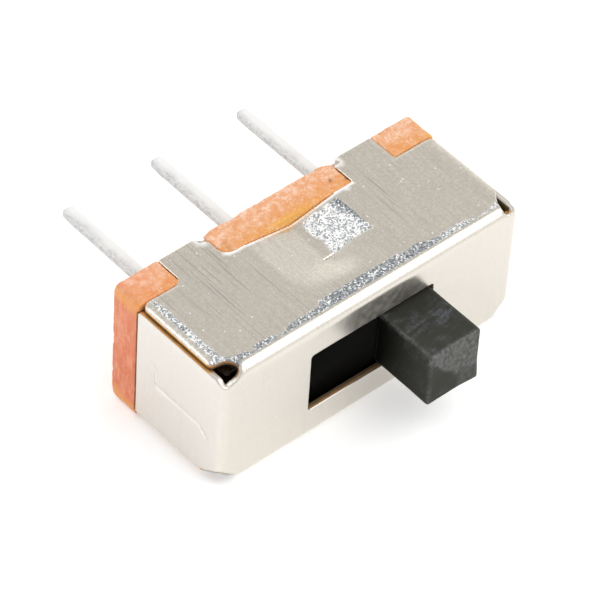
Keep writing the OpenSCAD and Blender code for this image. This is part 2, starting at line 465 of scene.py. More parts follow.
def placed(name: str, data: bpy.types.ID) -> bpy.types.Object:
    """Makes an object at the origin of the scene.

    Args:
        name: Name of the object.
        data: Its mesh, lamp or camera.

    Returns:
        The object.
    """
    made = bpy.data.objects.new(name, data)
    bpy.context.scene.collection.objects.link(made)
    return made


# ---- Node graphs ---------------------------------------------------------------


@dataclass(frozen=True)
class Signal:
    """Output of a node. Arithmetic on it adds nodes to its graph."""

    graph: "Graph"
    socket: bpy.types.NodeSocket

    def __add__(self, other: "Signal | float") -> "Signal":
        """Sum."""
        return self.graph.math("ADD", self, other)

    def __sub__(self, other: "Signal | float") -> "Signal":
        """Difference."""
        return self.graph.math("SUBTRACT", self, other)

    def __mul__(self, other: "Signal | float") -> "Signal":
        """Product."""
        return self.graph.math("MULTIPLY", self, other)

    def __abs__(self) -> "Signal":
        """Value without its sign."""
        return self.graph.math("ABSOLUTE", self)

    def rest(self) -> "Signal":
        """What this value leaves of 1."""
        return self.graph.math("SUBTRACT", 1.0, self)

    def most(self, other: "Signal | float") -> "Signal":
        """The larger of two values."""
        return self.graph.math("MAXIMUM", self, other)

    def spread(self, low: float, high: float, to_low: float = 0.0, to_high: float = 1.0) -> "Signal":
        """Maps the range from low to high onto another range, with soft ends."""
        ends = {"Value": self, "From Min": low, "From Max": high, "To Min": to_low, "To Max": to_high}
        return self.graph.out("MapRange", ends, interpolation_type="SMOOTHSTEP")


class Graph:
    """Short ways to build the nodes of a material, a world or a node group."""

    def __init__(self, owner: bpy.types.ID) -> None:
        """Starts with an empty graph.

        Args:
            owner: Material, world or node group that holds it.
        """
        self.owner = owner
        if not isinstance(owner, bpy.types.NodeTree):
            owner.use_nodes = True
        self.tree = owner if isinstance(owner, bpy.types.NodeTree) else owner.node_tree
        self.tree.nodes.clear()

    def node(self, kind: str, inputs: dict[str | int, object] | None = None, **settings: object) -> bpy.types.Node:
        """Adds a node.

        Args:
            kind: Type of the node, for a shader node without its prefix.
            inputs: Input sockets by name or index, each with a value, a signal or a socket.
            settings: Properties of the node.

        Returns:
            The node.
        """
        made = self.tree.nodes.new(kind if "Node" in kind else "ShaderNode" + kind)
        for key, value in settings.items():
            setattr(made, key, value)
        for key, value in (inputs or {}).items():
            self.feed(made.inputs[key], value)
        return made

    def feed(self, target: bpy.types.NodeSocket, value: object) -> None:
        """Links or sets an input.

        Args:
            target: The input socket.
            value: A signal or socket to link, or a plain value; a colour has three numbers.
        """
        if isinstance(value, Signal):
            value = value.socket
        if isinstance(value, bpy.types.NodeSocket):
            self.tree.links.new(value, target)
        else:
            target.default_value = (*value, 1.0) if target.type == "RGBA" else value

    def out(self, kind: str, inputs: dict[str | int, object] | None = None, key: str | int = 0,
            **settings: object) -> Signal:
        """Adds a node and takes one of its outputs, the first if no key is given."""
        return Signal(self, self.node(kind, inputs, **settings).outputs[key])

    def coordinates(self, scale: float | Sequence[float], where: Signal | None = None) -> Signal:
        """Places in metres times a scale, on the object or as given."""
        source = where or self.out("TexCoord", key="Object")
        return self.out("Mapping", {"Vector": source, "Scale": (scale,) * 3 if isinstance(scale, float) else scale})

    def noise(self, scale: float | Sequence[float], detail: float = 3.0, rough: float = 0.5,
              where: Signal | None = None) -> Signal:
        """Noise with a number of features to the metre, or to the unit of the places given."""
        return self.out("TexNoise", {"Vector": self.coordinates(scale, where), "Scale": 1.0, "Detail": detail,
                                     "Roughness": rough})

    def cells(self, scale: float) -> tuple[Signal, Signal]:
        """Cells of random size: distance from the middle, and a random value for each cell."""
        made = self.node("TexVoronoi", {"Vector": self.coordinates(scale), "Scale": 1.0}, feature="F1").outputs
        return Signal(self, made["Distance"]), Signal(self, made["Color"])

    def value(self, name: str) -> Signal:
        """A vertex value of the mesh."""
        return self.out("Attribute", key="Fac", attribute_name=name)

    def math(self, operation: str, a: Signal | float, b: Signal | float = 0.0, clamp: bool = False) -> Signal:
        """Arithmetic on two values."""
        return self.out("Math", {0: a, 1: b}, operation=operation, use_clamp=clamp)

    def mix(self, share: Signal | float, a: Signal | Colour, b: Signal | Colour) -> Signal:
        """Mixes two colours.

        Args:
            share: Share of the second colour.
            a: First colour.
            b: Second colour.

        Returns:
            The mixed colour.
        """
        made = self.node("Mix", data_type="RGBA", blend_type="MIX")
        for key, item in (("Factor", share), ("A", a), ("B", b)):
            self.feed(next(s for s in made.inputs if s.name == key and s.enabled), item)
        return Signal(self, next(s for s in made.outputs if s.enabled))

    def layers(self, base: Signal, *over: tuple[Signal, Signal | Colour]) -> Signal:
        """Lays colours over one another.

        Args:
            base: The lowest colour.
            over: Share and colour of each layer, from the lowest up.

        Returns:
            The colour that is seen.
        """
        for share, colour in over:
            base = self.mix(share, base, colour)
        return base

    def bumps(self, *heights: tuple[Signal, float, Signal | float]) -> Signal:
        """Sets bumps on top of one another.

        Args:
            heights: Height, depth in millimetres and strength of each.

        Returns:
            The bent normal.
        """
        normal: dict[str | int, object] = {}
        for height, depth, strength in heights:
            made = self.out("Bump", {"Height": height, "Distance": depth * MM, "Strength": strength, **normal})
            normal["Normal"] = made
        return made

    def surface(self, **sockets: object) -> bpy.types.Material:
        """Ends a material's graph in a Principled shader.

        Args:
            sockets: Shader inputs, with underscores for spaces.

        Returns:
            The finished material.
        """
        shader = self.out("BsdfPrincipled", {key.replace("_", " "): value for key, value in sockets.items()})
        self.node("OutputMaterial", {"Surface": shader})
        return self.owner


def new_graph(name: str) -> Graph:
    """Starts the graph of a new material with that name."""
    return Graph(bpy.data.materials.new(name))


# ---- Finishes --------------------------------------------------------------------
#
# Scales of the patterns are features to the metre. A spread's numbers are the ends of the
# range that it reads, and then the ends of the range that it gives.


@dataclass(frozen=True)
class NickelSheet:
    """Nickel plating on rolled sheet, brushed along the blank and frosted by the dies."""

    plate: Colour = (0.90, 0.84, 0.74)
    dull: Colour = (0.81, 0.75, 0.655)
    shade: Colour = (0.66, 0.605, 0.525)
    bright: Colour = (0.745, 0.725, 0.69)
    # Darker tint of the front panel: painted shade.
    front_shade: Colour = (0.675, 0.645, 0.59)
    # Tone of real scratches, also laid as painted shade on dark flanks and lines.
    scratch_and_shade: Colour = (0.50, 0.47, 0.42)
    # Near-white tone of chips and specks, also laid as painted glints in the frost and as painted highlight lines.
    chip: Colour = (1.0, 0.99, 0.97)
    # Painted shade of the frost's dark facets.
    facet_shade: Colour = (0.045, 0.05, 0.055)
    silver: Colour = (0.50, 0.54, 0.57)
    even: Colour = (0.42, 0.42, 0.42)

    def build(self) -> bpy.types.Material:
        """Makes the material. It reads the vertex values across, along, frost, bright and groove.

        Returns:
            The material.
        """
        g = new_graph("nickel sheet")
        across, along, bright, groove = (g.value(name) for name in ("across", "along", "bright", "groove"))
        blank = g.out("CombineXYZ", {0: across, 1: along})
        long_side = abs(along).spread(1.4, 1.9)

        def by_face(front: float, side: float) -> Signal:
            """One value on the front panel, and another on the long sides."""
            return long_side.spread(0.0, 1.0, front, side)

        lines, faint, broad, deep = (g.noise((*scale, 1.0), detail, 0.6, blank) for scale, detail in (
            ((15.0, 0.6), 3.0), ((40.0, 1.3), 2.0), ((1.1, 0.45), 2.0), ((21.0, 0.35), 2.0)))
        cloud, patchy = g.noise(900.0), g.noise(7000.0, 2.0)
        dust, grain = g.noise(10000.0, 2.0, 0.8), g.noise(22000.0, 2.0, 0.7)
        brushed = g.mix(by_face(0.6, 0.0), lines * 0.6 + faint * 0.4, self.even)
        scratched = deep.spread(0.60, 0.66) * (broad + across * -0.018).spread(0.42, 0.60)
        near, chance = g.cells(5600.0)
        speck = near.spread(0.17, 0.05, 0.0, 0.9) * chance.spread(0.66, 0.72) * by_face(0.3, 1.0)
        # Frost is a matt, crystalline finish; its crystals are painted white as glints or dark as shaded facets, and
        # the bright value sets the share of glints.
        crystal = g.cells(30000.0)[1]
        frost = (g.value("frost") + patchy * 0.5).spread(0.55, 0.95)
        glint_share = (crystal + (bright + (patchy - 0.5) * 0.4)).spread(0.85, 1.2)
        dark = g.mix((bright * 0.4 + grain * 0.9).spread(0.35, 0.85), self.facet_shade, self.silver)
        # Painted highlight: the negative part of the value for painted shade, laid in the chip tone.
        lit = groove * -1.0
        colour = g.layers(
            g.mix(brushed.spread(0.38, 0.62), self.dull, self.plate),
            (grain.spread(0.38, 0.62) * by_face(0.20, 0.58), self.shade),
            (dust.spread(0.44, 0.60) * by_face(0.20, 0.42), self.shade),
            (cloud.spread(0.4, 0.7) * 0.3, self.dull),
            # Painted shade: the front panel and the start of its end bends take a darker tint than the flaps, which
            # damps the reflection along the bends.
            (by_face(0.7, 0.0), g.mix(abs(across).spread(4.5, 4.1), self.bright, self.front_shade)),
            (scratched * by_face(0.12, 0.8), self.scratch_and_shade),
            (speck, self.chip),
            (frost, g.mix(glint_share, dark, self.chip)),
            # Painted shade in the scratch tone, then painted highlight in the chip tone.
            (groove.most(0.0), self.scratch_and_shade),
            (lit.most(0.0), self.chip))
        hazy = patchy.spread(0.35, 0.65, 0.07, 0.20) * by_face(1.0, 0.0)
        matt = frost.most(speck).most(lit)
        metal = g.math("SUBTRACT", (matt * 0.75).rest(), hazy, clamp=True)
        rough = brushed * 0.16 + by_face(0.21, 0.18) + frost * 0.25
        normal = g.bumps((brushed, 0.003, 0.3), (grain, 0.0012, 0.35), (crystal, 0.008, frost))
        return g.surface(Base_Color=colour, Metallic=metal, Roughness=rough, Normal=normal)


@dataclass(frozen=True)
class ShearedEdge:
    """Cut edge of the sheet: plated where it is open, brassy brown where the cut is bare."""

    plated: Colour = (0.86, 0.83, 0.77)
    shadow: Colour = (0.50, 0.46, 0.40)
    tan: Colour = (0.80, 0.37, 0.06)
    brown: Colour = (0.13, 0.065, 0.014)

    def build(self) -> bpy.types.Material:
        """Makes the material. It reads the vertex values bare and deep.

        Returns:
            The material.
        """
        g = new_graph("sheared edge")
        streak, bare = g.noise(5000.0, rough=0.6), g.value("bare")
        # Painted shade: the cut face darkens from its burnished line towards the inner face, with streaks, on plated
        # and bare edges alike.
        level = (g.value("deep") + streak * 0.6).spread(0.35, 1.1)
        colour = g.mix(bare, g.mix(level, self.plated, self.shadow), g.mix(level, self.tan, self.brown))
        return g.surface(Base_Color=colour, Metallic=g.math("SUBTRACT", 0.9, bare * 0.65),
                         Roughness=streak * 0.25 + 0.32, Normal=g.bumps((streak, 0.01, 0.5)))


@dataclass(frozen=True)
class InnerSkin:
    """Inner face of the cover, coloured brassy gold, which gives the warm tone seen through the relief holes."""

    brass: Colour = (0.98, 0.74, 0.36)
    stain: Colour = (0.86, 0.52, 0.16)

    def build(self) -> bpy.types.Material:
        """Makes the material.

        Returns:
            The material.
        """
        g = new_graph("inner skin")
        cloud = g.noise(1800.0)
        return g.surface(Base_Color=g.mix(cloud.spread(0.4, 0.65), self.brass, self.stain), Metallic=0.8,
                         Roughness=cloud * 0.2 + 0.35, Normal=g.bumps((cloud, 0.01, 0.4)))


@dataclass(frozen=True)
class BoardLaminate:
    """Punched laminate: pale mottled edges, a redder end, and a few pits."""

    amber: Colour = (0.80, 0.40, 0.07)
    orange: Colour = (0.74, 0.31, 0.09)
    gold: Colour = (0.95, 0.45, 0.13)
    salmon: Colour = (0.78, 0.37, 0.18)
    red: Colour = (0.78, 0.20, 0.085)
    pink: Colour = (0.92, 0.37, 0.21)
    fibre: Colour = (0.93, 0.70, 0.55)
    # Dark tone of pits, also laid as painted shadow.
    pit_and_shadow: Colour = (0.16, 0.05, 0.01)
    cream: Colour = (0.90, 0.72, 0.46)

    def build(self) -> bpy.types.Material:
        """Makes the material. It reads the vertex values end, outer, middle, amber, chip and seam.

        Returns:
            The material.
        """
        g = new_graph("board laminate")
        end = g.value("end")
        mottle, blotch = g.noise(6000.0, 5.0, 0.75), g.noise(1200.0)
        fine, plies = g.noise(17000.0, 2.0, 0.7), g.noise((1500.0, 8000.0, 1600.0), rough=0.7)
        near, chance = g.cells(1700.0)
        cloudy = g.value("outer") + (blotch - 0.5) * 1.2
        reddish = g.value("middle") + (blotch - 0.5) * 1.5
        side = g.layers(g.mix(cloudy.spread(0.1, 0.8), self.orange, self.salmon), (g.value("amber"), self.amber))
        face = g.layers(g.mix(plies.spread(0.36, 0.64), self.red, self.pink),
                        (reddish.spread(0.75, -0.05), self.gold))
        x_mm = g.out("SeparateXYZ", {0: g.coordinates(1000.0)}, "X")
        pits = near.spread(0.13, 0.07) * chance.spread(0.70, 0.74)
        colour = g.layers(
            g.mix(end, side, face),
            (mottle.spread(0.42, 0.70) * cloudy.spread(0.0, 0.9, 0.2, 0.8) * (end * 0.55).rest(), self.fibre),
            (fine.spread(0.55, 0.68) * blotch.spread(0.35, 0.6, 0.25, 0.7) * (end * 0.6).rest(), self.fibre),
            (mottle.spread(0.46, 0.30) * 0.30, self.red),
            (x_mm.spread(-2.6, -4.1, 0.0, 0.3), self.red),
            (pits * end.rest(), self.pit_and_shadow),
            (g.value("chip"), self.cream),
            # Painted shadow by the flaps, and pits.
            (g.value("seam"), self.pit_and_shadow))
        return g.surface(Base_Color=colour, Roughness=0.55, Specular_IOR_Level=0.4,
                         Normal=g.bumps((mottle, 0.02, 0.5), (plies, 0.006, 0.4)))


@dataclass(frozen=True)
class BlackPlastic:
    """Black moulded plastic, scuffed on its faces and rubbed pale along its edges, and painted black where it lies in
    shade, grey where it is lit.
    """

    black: Colour = (0.002, 0.002, 0.0015)
    grey: Colour = (0.046, 0.046, 0.039)
    scuff: Colour = (0.11, 0.12, 0.13)
    rubbed: Colour = (0.175, 0.178, 0.168)

    def build(self) -> bpy.types.Material:
        """Makes the material. It reads the vertex values rub, graze and open.

        Returns:
            The material.
        """
        g = new_graph("black plastic")
        painted_light_share, graze = g.value("open"), g.value("graze")
        cloud, fine = g.noise(1300.0, 4.0, 0.6), g.noise(12000.0, rough=0.7)
        drag = g.noise((2500.0, 9000.0, 9000.0), rough=0.6)
        scuffs = cloud.spread(0.46, 0.66) * drag.spread(0.36, 0.66) * (painted_light_share * fine.spread(0.38, 0.62, 0.35, 1.2))
        # Painted shade: where the open value is low the plastic is painted black, elsewhere grey.
        colour = g.layers(
            g.mix(painted_light_share, self.black, self.grey),
            (scuffs * 0.8, self.scuff),
            (g.value("rub") * fine.spread(0.30, 0.60, 0.2, 1.0) * 0.6, self.rubbed),
            (graze * fine.spread(0.25, 0.75, 0.15, 1.0), self.rubbed))
        return g.surface(Base_Color=colour, Roughness=fine * 0.25 + 0.40, Specular_IOR_Level=0.04,
                         Normal=g.bumps((fine, 0.008, 0.4), (g.noise(20000.0), 0.02, graze)))


@dataclass(frozen=True)
class TinnedStrip:
    """Pale tin on stamped strip, dull and specked towards one edge."""

    tin: Colour = (0.90, 0.90, 0.885)
    dull: Colour = (0.69, 0.695, 0.69)
    speck: Colour = (0.46, 0.47, 0.465)

    def build(self) -> bpy.types.Material:
        """Makes the material. It reads the vertex value side.

        Returns:
            The material.
        """
        g = new_graph("tinned strip")
        side, cloud = g.value("side"), g.noise(1400.0)
        fine = g.noise((16000.0, 9000.0, 16000.0), rough=0.7)
        specks = fine.spread(0.46, 0.62) * (side + cloud * 0.9).spread(0.55, -0.55)
        colour = g.layers(g.mix((side + (cloud - 0.5) * 2.0).spread(0.6, -1.0), self.tin, self.dull),
                          (specks * 0.8, self.speck))
        return g.surface(Base_Color=colour, Metallic=0.2, Roughness=cloud * 0.2 + 0.30,
                         Normal=g.bumps((fine, 0.006, 0.5)))


@dataclass(frozen=True)
class ContactBronze:
    """Rolled phosphor bronze of the contact clip, with faint rolling lines."""

    bronze: Colour = (0.80, 0.52, 0.28)
    tarnish: Colour = (0.46, 0.27, 0.13)

    def build(self) -> bpy.types.Material:
        """Makes the material.

        Returns:
            The material.
        """
        g = new_graph("contact bronze")
        lines, cloud = g.noise((15000.0, 1200.0, 1200.0), 2.0), g.noise(2200.0)
        return g.surface(Base_Color=g.mix(cloud.spread(0.4, 0.7), self.bronze, self.tarnish), Metallic=1.0,
                         Roughness=lines * 0.2 + 0.22, Normal=g.bumps((lines, 0.003, 0.4)))


# ---- Cover -------------------------------------------------------------------------

# Outlines of the corners' relief holes in the blank, in the flap and panel and then in the
# long side, with both coordinates positive.
LOWER_RELIEF = (
    ((4.80, 1.555), (4.68, 1.50), (4.54, 1.40), (4.40, 1.31), (4.30, 1.255), (4.19, 1.235), (4.07, 1.29),
     (3.93, 1.40), (3.80, 1.53), (3.71, 1.65)),
    ((3.71, 1.65), (3.715, 1.74), (3.76, 1.82), (3.87, 1.95), (4.0, 2.105), (4.12, 2.265), (4.16, 2.34)))
RIGHT_RELIEF = (
    ((4.42, 1.555), (4.25, 1.55), (4.12, 1.545), (4.0, 1.56), (3.91, 1.60), (3.86, 1.66)),
    ((3.86, 1.66), (3.845, 1.75), (3.86, 1.86), (3.90, 1.97), (3.97, 2.09), (4.06, 2.21), (4.16, 2.35)))
LEFT_RELIEF = (
    ((4.44, 1.555), (4.31, 1.51), (4.20, 1.445), (4.09, 1.425), (3.97, 1.46), (3.85, 1.535), (3.74, 1.64),
     (3.68, 1.765)),
    ((3.68, 1.765), (3.665, 1.90), (3.72, 2.02), (3.82, 2.105), (3.96, 2.14), (4.09, 2.16), (4.145, 2.20),
     (4.16, 2.27)))


@dataclass(frozen=True)
class Rollover:
    """How a cut edge is rolled over: reach into the face, and fall at the cut."""

    reach: float
    fall: float


@dataclass
class Cover:
    """Cover folded from one punched blank.

    The blank lies in a plane of two coordinates: across runs along the switch, and
    along runs over the front panel and down both long sides. Both are 0 at the middle
    of the front panel.

    Lengths are in millimetres. side_short is how far a long side stops before the end,
    lance how deep the lanced line lies, drawn how far the spring's uncut half draws the
    side in, burnish the bright share of a cut edge, and rows are where points lie
    along an edge, crease, line or curl.
    """

    half_len: float
    half_w: float
    depth: float
    sheet: float = 0.15
    side_bend: float = 0.28
    end_bend: float = 0.22
    slit: float = 0.02
    side_short: float = 0.09
    board: float = 0.8
    slot_half: tuple[float, float] = (1.75, 0.855)
    slot_corner: float = 0.07
    flap_corner: float = 0.1
    side_corner: float = 0.2
    tab_corner: float = 0.05
    tab_x: float = 2.44
    tab_w: float = 1.22
    clinch: float = 0.2
    clinch_t: float = 0.1
    clinch_bite: float = 0.22
    wide_notch: tuple[float, float] = (0.28, 0.15)
    plain_notch: tuple[float, float] = (0.05, 0.06)
    spring_half: float = 1.26
    spring_depth: float = 0.2
    spring_rounds: tuple[float, float] = (0.004, 0.0016)
    lance: float = 2.1
    lance_gap: float = 0.02
    lance_tip: float = -0.12
    drawn: float = 0.85
    burnish: float = 0.4
    cut: Rollover = Rollover(0.045, 0.035)
    slit_cut: Rollover = Rollover(0.02, 0.012)
    notch: Rollover = Rollover(0.05, 0.022)
    side_cut: Rollover = Rollover(0.26, 0.06)
    corner_cut: Rollover = Rollover(0.12, 0.05)
    tab_cut: Rollover = Rollover(0.12, 0.08)
    hole_cut: Rollover = Rollover(0.13, 0.06)
    slot_cut: Rollover = Rollover(0.027, 0.021)
    frost_band: float = 0.29
    stamp: tuple[tuple[float, float], ...] = ((1.41, 0.36), (1.46, -0.2), (2.9, -0.2), (3.14, -0.44))
    stamp_w: float = 0.045
    stamp_depth: float = 0.032
    curl_depth: float = 0.045
    curl_w: float = 0.09
    relief_centre: tuple[float, float] = (3.98, 1.86)
    hole_span: tuple[float, float, float] = (3.6, 4.14, 2.2)
    bare_from: tuple[float, float] = (2.1, 3.1)
    # Strengths of painted shade and painted highlight: the stamped lines' flanks, the lanced line and the flap's rim.
    flanks: tuple[float, float] = (1.0, -0.55)
    lance_line: float = 0.22
    rim_shade: float = 0.9
    chord: float = 0.09
    spacing: float = 0.13
    reach: tuple[float, float] = (7.1, 5.3)
    edge_rows: tuple[float, ...] = (0.06, 0.18, 0.36, 0.6, 0.85, 1.1)
    crease_rows: tuple[float, ...] = (-0.1, -0.05, 0.0, 0.05, 0.1)
    stamp_rows: tuple[float, ...] = (-0.05, -0.025, 0.0, 0.025, 0.05)
    curl_rows: tuple[float, ...] = (0.03, 0.06, 0.09, 0.12)

    def __post_init__(self) -> None:
        """Works out where the bends and the tabs lie in the blank."""
        self.side_end = self.half_len - self.side_short
        self.flap_half = self.half_w - self.sheet - self.slit
        self.panel_half = self.half_w - self.side_bend
        self.side_start = self.panel_half + self.side_bend * math.pi / 2
        self.panel_end = self.half_len - self.end_bend
        self.flap_start = self.panel_end + self.end_bend * math.pi / 2
        self.tab_in, self.tab_out = self.tab_x - self.tab_w / 2, self.tab_x + self.tab_w / 2

    def side_at(self, depth: float) -> float:
        """Along the blank at which a long side reaches a depth from the board's outer face."""
        return self.side_start + self.depth - self.side_bend - depth

    def flap_at(self, depth: float) -> float:
        """Across the blank at which an end flap reaches a depth from the board's outer face."""
        return self.flap_start + self.depth - self.end_bend - depth

    def quarter(self, right: bool, upper: bool) -> tuple[Array, Array]:
        """Outline of a quarter of the blank, from the end flap to the middle of a long side.

        Args:
            right: True at positive across.
            upper: True at positive along.

        Returns:
            Its points with both coordinates positive, and the reach and fall of each chord's rollover.
        """
        notch, tip = self.side_at(self.board), self.side_at(0.0)
        free = self.side_at(self.board + self.lance_gap)
        flap_tip, bend = self.flap_at(self.board), self.flap_corner
        fillet, corner = self.wide_notch if upper and not right else self.plain_notch
        in_flap, in_side = LOWER_RELIEF if not upper else RIGHT_RELIEF if right else LEFT_RELIEF
        end, turn, tab = self.side_end, self.side_corner, self.tab_corner
        pieces = [(np.array([[flap_tip, 0.0]]), self.notch),
                  (arc((flap_tip - bend, self.flap_half - bend), bend, 0, 90, 6), self.slit_cut),
                  (through(in_flap), self.hole_cut),
                  (through(in_side)[1:], self.cut),
                  (np.array([[end, notch - turn - 0.02]]), self.side_cut),
                  (arc((end - turn, notch - turn), turn, 0, 90, 7), self.corner_cut),
                  (arc((self.tab_out + corner, notch + corner), corner, -90, -180, 5), self.slit_cut),
                  (arc((self.tab_out - tab, tip - tab), tab, 0, 90, 4), self.cut),
                  (np.array([[self.tab_in + self.clinch, tip]]), self.tab_cut),
                  (np.array([[self.tab_in, tip - self.clinch]]), self.slit_cut),
                  (arc((self.tab_in - fillet, notch + fillet), fillet, 0, -90, 7), self.notch),
                  (np.array([[self.spring_half + 0.02, notch], [self.spring_half, free]]), self.notch),
                  (np.array([[0.0, free]]), self.notch)]
        points = np.vstack([part for part, _ in pieces])
        rolls = np.vstack([np.tile((roll.reach, roll.fall), (len(part), 1)) for part, roll in pieces])
        hole_end = sum(len(part) for part, _ in pieces[:4]) - 1
        rolls[hole_end] = (self.side_cut.reach, self.side_cut.fall)
        return points, rolls

    def blank(self) -> tuple[list[Array], list[Array]]:
        """Outline, slot and lanced lines of the blank.

        Returns:
            The loops, and for each of their chords the reach and fall of its rollover.
        """
        points, rolls = [], []
        for right, upper in ((True, False), (True, True), (False, True), (False, False)):
            part, roll = self.quarter(right, upper)
            part = part * (1 if right else -1, 1 if upper else -1)
            if right != upper:
                part, roll = part[::-1], np.roll(roll[::-1], -1, axis=0)
            points.append(part[:-1])
            rolls.append(roll[:-1])
        near, far = self.side_at(self.lance - self.lance_gap), self.side_at(self.lance)
        tip, end = self.lance_tip, self.spring_half
        holes = [rectangle(*self.slot_half, self.slot_corner),
                 np.array([[tip, far], [tip, near], [end, near], [end, far]]),
                 np.array([[tip, -near], [tip, -far], [end, -far], [end, -near]])]
        soft = (self.slot_cut.reach, self.slot_cut.fall)
        pairs = [(np.vstack(points), np.vstack(rolls)), *[(hole, np.tile(soft, (len(hole), 1))) for hole in holes]]
        fine, sizes = [], []
        for loop, roll in pairs:
            part, chords = divided(loop, self.chord)
            fine.append(part)
            sizes.append(roll[chords])
        return fine, sizes

    def roll_drop(self, loops: Sequence[Array], rolls: Sequence[Array], points: Array) -> Array:
        """How far the rollover of the cut edges lowers the outer face.

        Args:
            loops: Outline and holes of the blank.
            rolls: Reach and fall of each chord's rollover.
            points: Points of the blank.

        Returns:
            The drop at each point.
        """
        drop = np.zeros(len(points))
        for loop, sizes in zip(loops, rolls):
            reach, fall = sizes[None, :, 0], sizes[None, :, 1]
            for part in batches(len(points)):
                share = 1 - np.clip(edge_distance(loop, points[part]) / reach, 0, 1)
                drop[part] = np.maximum(drop[part], (fall * (1 - np.sqrt(1 - share * share))).max(axis=1))
        return drop

    def rows(self) -> Array:
        """Rows of points along the bends, the spring's creases, the curls and the stamped lines.

        Returns:
            The points, in the blank.
        """
        out: list[Array] = []
        across = np.arange(-self.panel_end + 0.1, self.panel_end - 0.05, 0.12)
        for row in np.linspace(self.panel_half, self.side_start, 12):
            out += [np.column_stack([across, np.full(len(across), sign * row)]) for sign in SIGNS]
        along = np.arange(-1.5, 1.5, 0.12)
        for row in np.linspace(self.panel_end, self.flap_start, 9):
            out += [np.column_stack([np.full(len(along), sign * row), along]) for sign in SIGNS]
        reach = np.arange(self.side_at(self.lance) + 0.08, self.side_at(self.board) - 0.08, 0.1)
        for centre in (-self.spring_half, 0.0, self.spring_half):
            for shift in self.crease_rows:
                out += [np.column_stack([np.full(len(reach), centre + shift), sign * reach]) for sign in SIGNS]
        fine = grid_points((-1.5, self.side_at(self.lance + 0.5)), (1.5, self.side_at(self.board)), 0.08)
        out += [fine, fine * (1, -1)]
        for centre in self.curls():
            out += [arc(centre, radius, 0, 330, 12) for radius in self.curl_rows]
        path = self.stamp_path()
        for shift in self.stamp_rows:
            line = (path + inward_normals(path) * shift)[1:-1]
            out += [line, line * (-1, 1)]
        return np.vstack(out)

    def loose_points(self, loops: Sequence[Array], rolls: Sequence[Array]) -> Array:
        """Points inside the blank: rows along cut edges and bends, and a grid elsewhere.

        Args:
            loops: Outline and holes of the blank.
            rolls: Reach and fall of each chord's rollover.

        Returns:
            The points.
        """
        edges = [loop + inward_normals(loop) * np.minimum(sizes, np.roll(sizes, 1, axis=0))[:, :1] * share
                 for loop, sizes in zip(loops, rolls) for share in self.edge_rows]
        grid = grid_points([-side for side in self.reach], self.reach, self.spacing)
        bend = (np.abs(np.abs(grid[:, 1]) - (self.panel_half + self.side_start) / 2)
                < (self.side_start - self.panel_half) / 2 + 0.06)
        bend |= (np.abs(grid[:, 0]) > self.panel_end - 0.06) & (np.abs(grid[:, 0]) < self.flap_start + 0.06)
        fixed = np.vstack([*edges, self.rows()])
        points = np.vstack([fixed, grid[~bend]])
        kept = inside(loops, points)
        structured = (np.arange(len(points)) < len(fixed))[kept]
        points = points[kept]
        clear, reach = np.full(len(points), 1e9), np.zeros(len(points))
        for loop, sizes in zip(loops, rolls):
            for part in batches(len(points)):
                gap = edge_distance(loop, points[part])
                closer = gap.min(axis=1) < clear[part]
                clear[part] = np.where(closer, gap.min(axis=1), clear[part])
                reach[part] = np.where(closer, sizes[gap.argmin(axis=1), 0], reach[part])
        keep = (clear > 0.05 * reach) & (structured | (clear > 1.2 * reach + 0.03))
        return thin_out(points[keep], structured[keep], 0.05)

    def stamp_path(self) -> Array:
        """Line stamped in the end flap at positive across.

        Returns:
            An open path in the blank.
        """
        corners = np.array([(self.flap_at(depth), height) for depth, height in self.stamp])
        points, chords = divided(corners, 0.05)
        return np.vstack([points[chords < len(corners) - 1], corners[-1:]])

    def place(self, flat: Array) -> tuple[Array, Array]:
        """Bends the blank.

        Args:
            flat: Points of the blank.

        Returns:
            Their places on the folded outer face, and the directions out of it.
        """
        p, q = flat[:, 0], np.abs(flat[:, 1])
        sign = np.sign(flat[:, 1])
        turn = np.clip((q - self.panel_half) / self.side_bend, 0, math.pi / 2)
        height = np.minimum(q, self.panel_half) + self.side_bend * np.sin(turn)
        back = self.side_bend * (1 - np.cos(turn)) + np.maximum(q - self.side_start, 0)
        press, slope = self.spring_drop(p, q)
        place = np.column_stack([p, back - self.depth, sign * (height - press)])
        out = np.column_stack([slope, -np.cos(turn), sign * np.sin(turn)])
        reach = np.abs(p)
        flap = (q < self.flap_half + 0.004) & (reach > self.panel_end - 0.12)
        ease = smooth_step(reach, self.panel_end - 0.12, self.panel_end)
        swing = np.clip((reach - self.panel_end) / self.end_bend, 0, math.pi / 2)
        wide = np.minimum(reach, self.panel_end) + self.end_bend * np.sin(swing)
        deep = (self.end_bend * (1 - np.cos(swing)) + np.maximum(reach - self.flap_start, 0)
                + back * (1 - ease) - self.depth)
        tall = sign * (height * (1 - ease) + q * ease)
        place[flap] = np.column_stack([np.sign(p) * wide, deep, tall])[flap]
        out[flap] = np.column_stack([np.sign(p) * np.sin(swing), -np.cos(swing), 0 * p])[flap]
        return place, out / np.linalg.norm(out, axis=1)[:, None]

    def spring_drop(self, p: Array, q: Array) -> tuple[Array, Array]:
        """Shape of the springs, pressed in as a V.

        Args:
            p: Places across the blank.
            q: Places along the blank, without their sign.

        Returns:
            Depth of the V at each point, and its slope across.
        """
        foot, rim = self.spring_rounds

        def drop(x: Array) -> Array:
            """The V, with its three bends rounded."""
            gap = self.spring_half - np.sqrt(x * x + foot)
            return self.spring_depth / self.spring_half * (gap + np.sqrt(gap * gap + rim)) / 2
        step = 1e-4
        line = self.side_at(self.lance - self.lance_gap / 2)
        fade = smooth_step(q, line - self.drawn, line) * (1 - smooth_step(p, self.lance_tip, self.spring_half))
        share = np.where(q > line, 1.0, fade)
        return drop(p) * share, (drop(p + step) - drop(p - step)) / (2 * step) * share

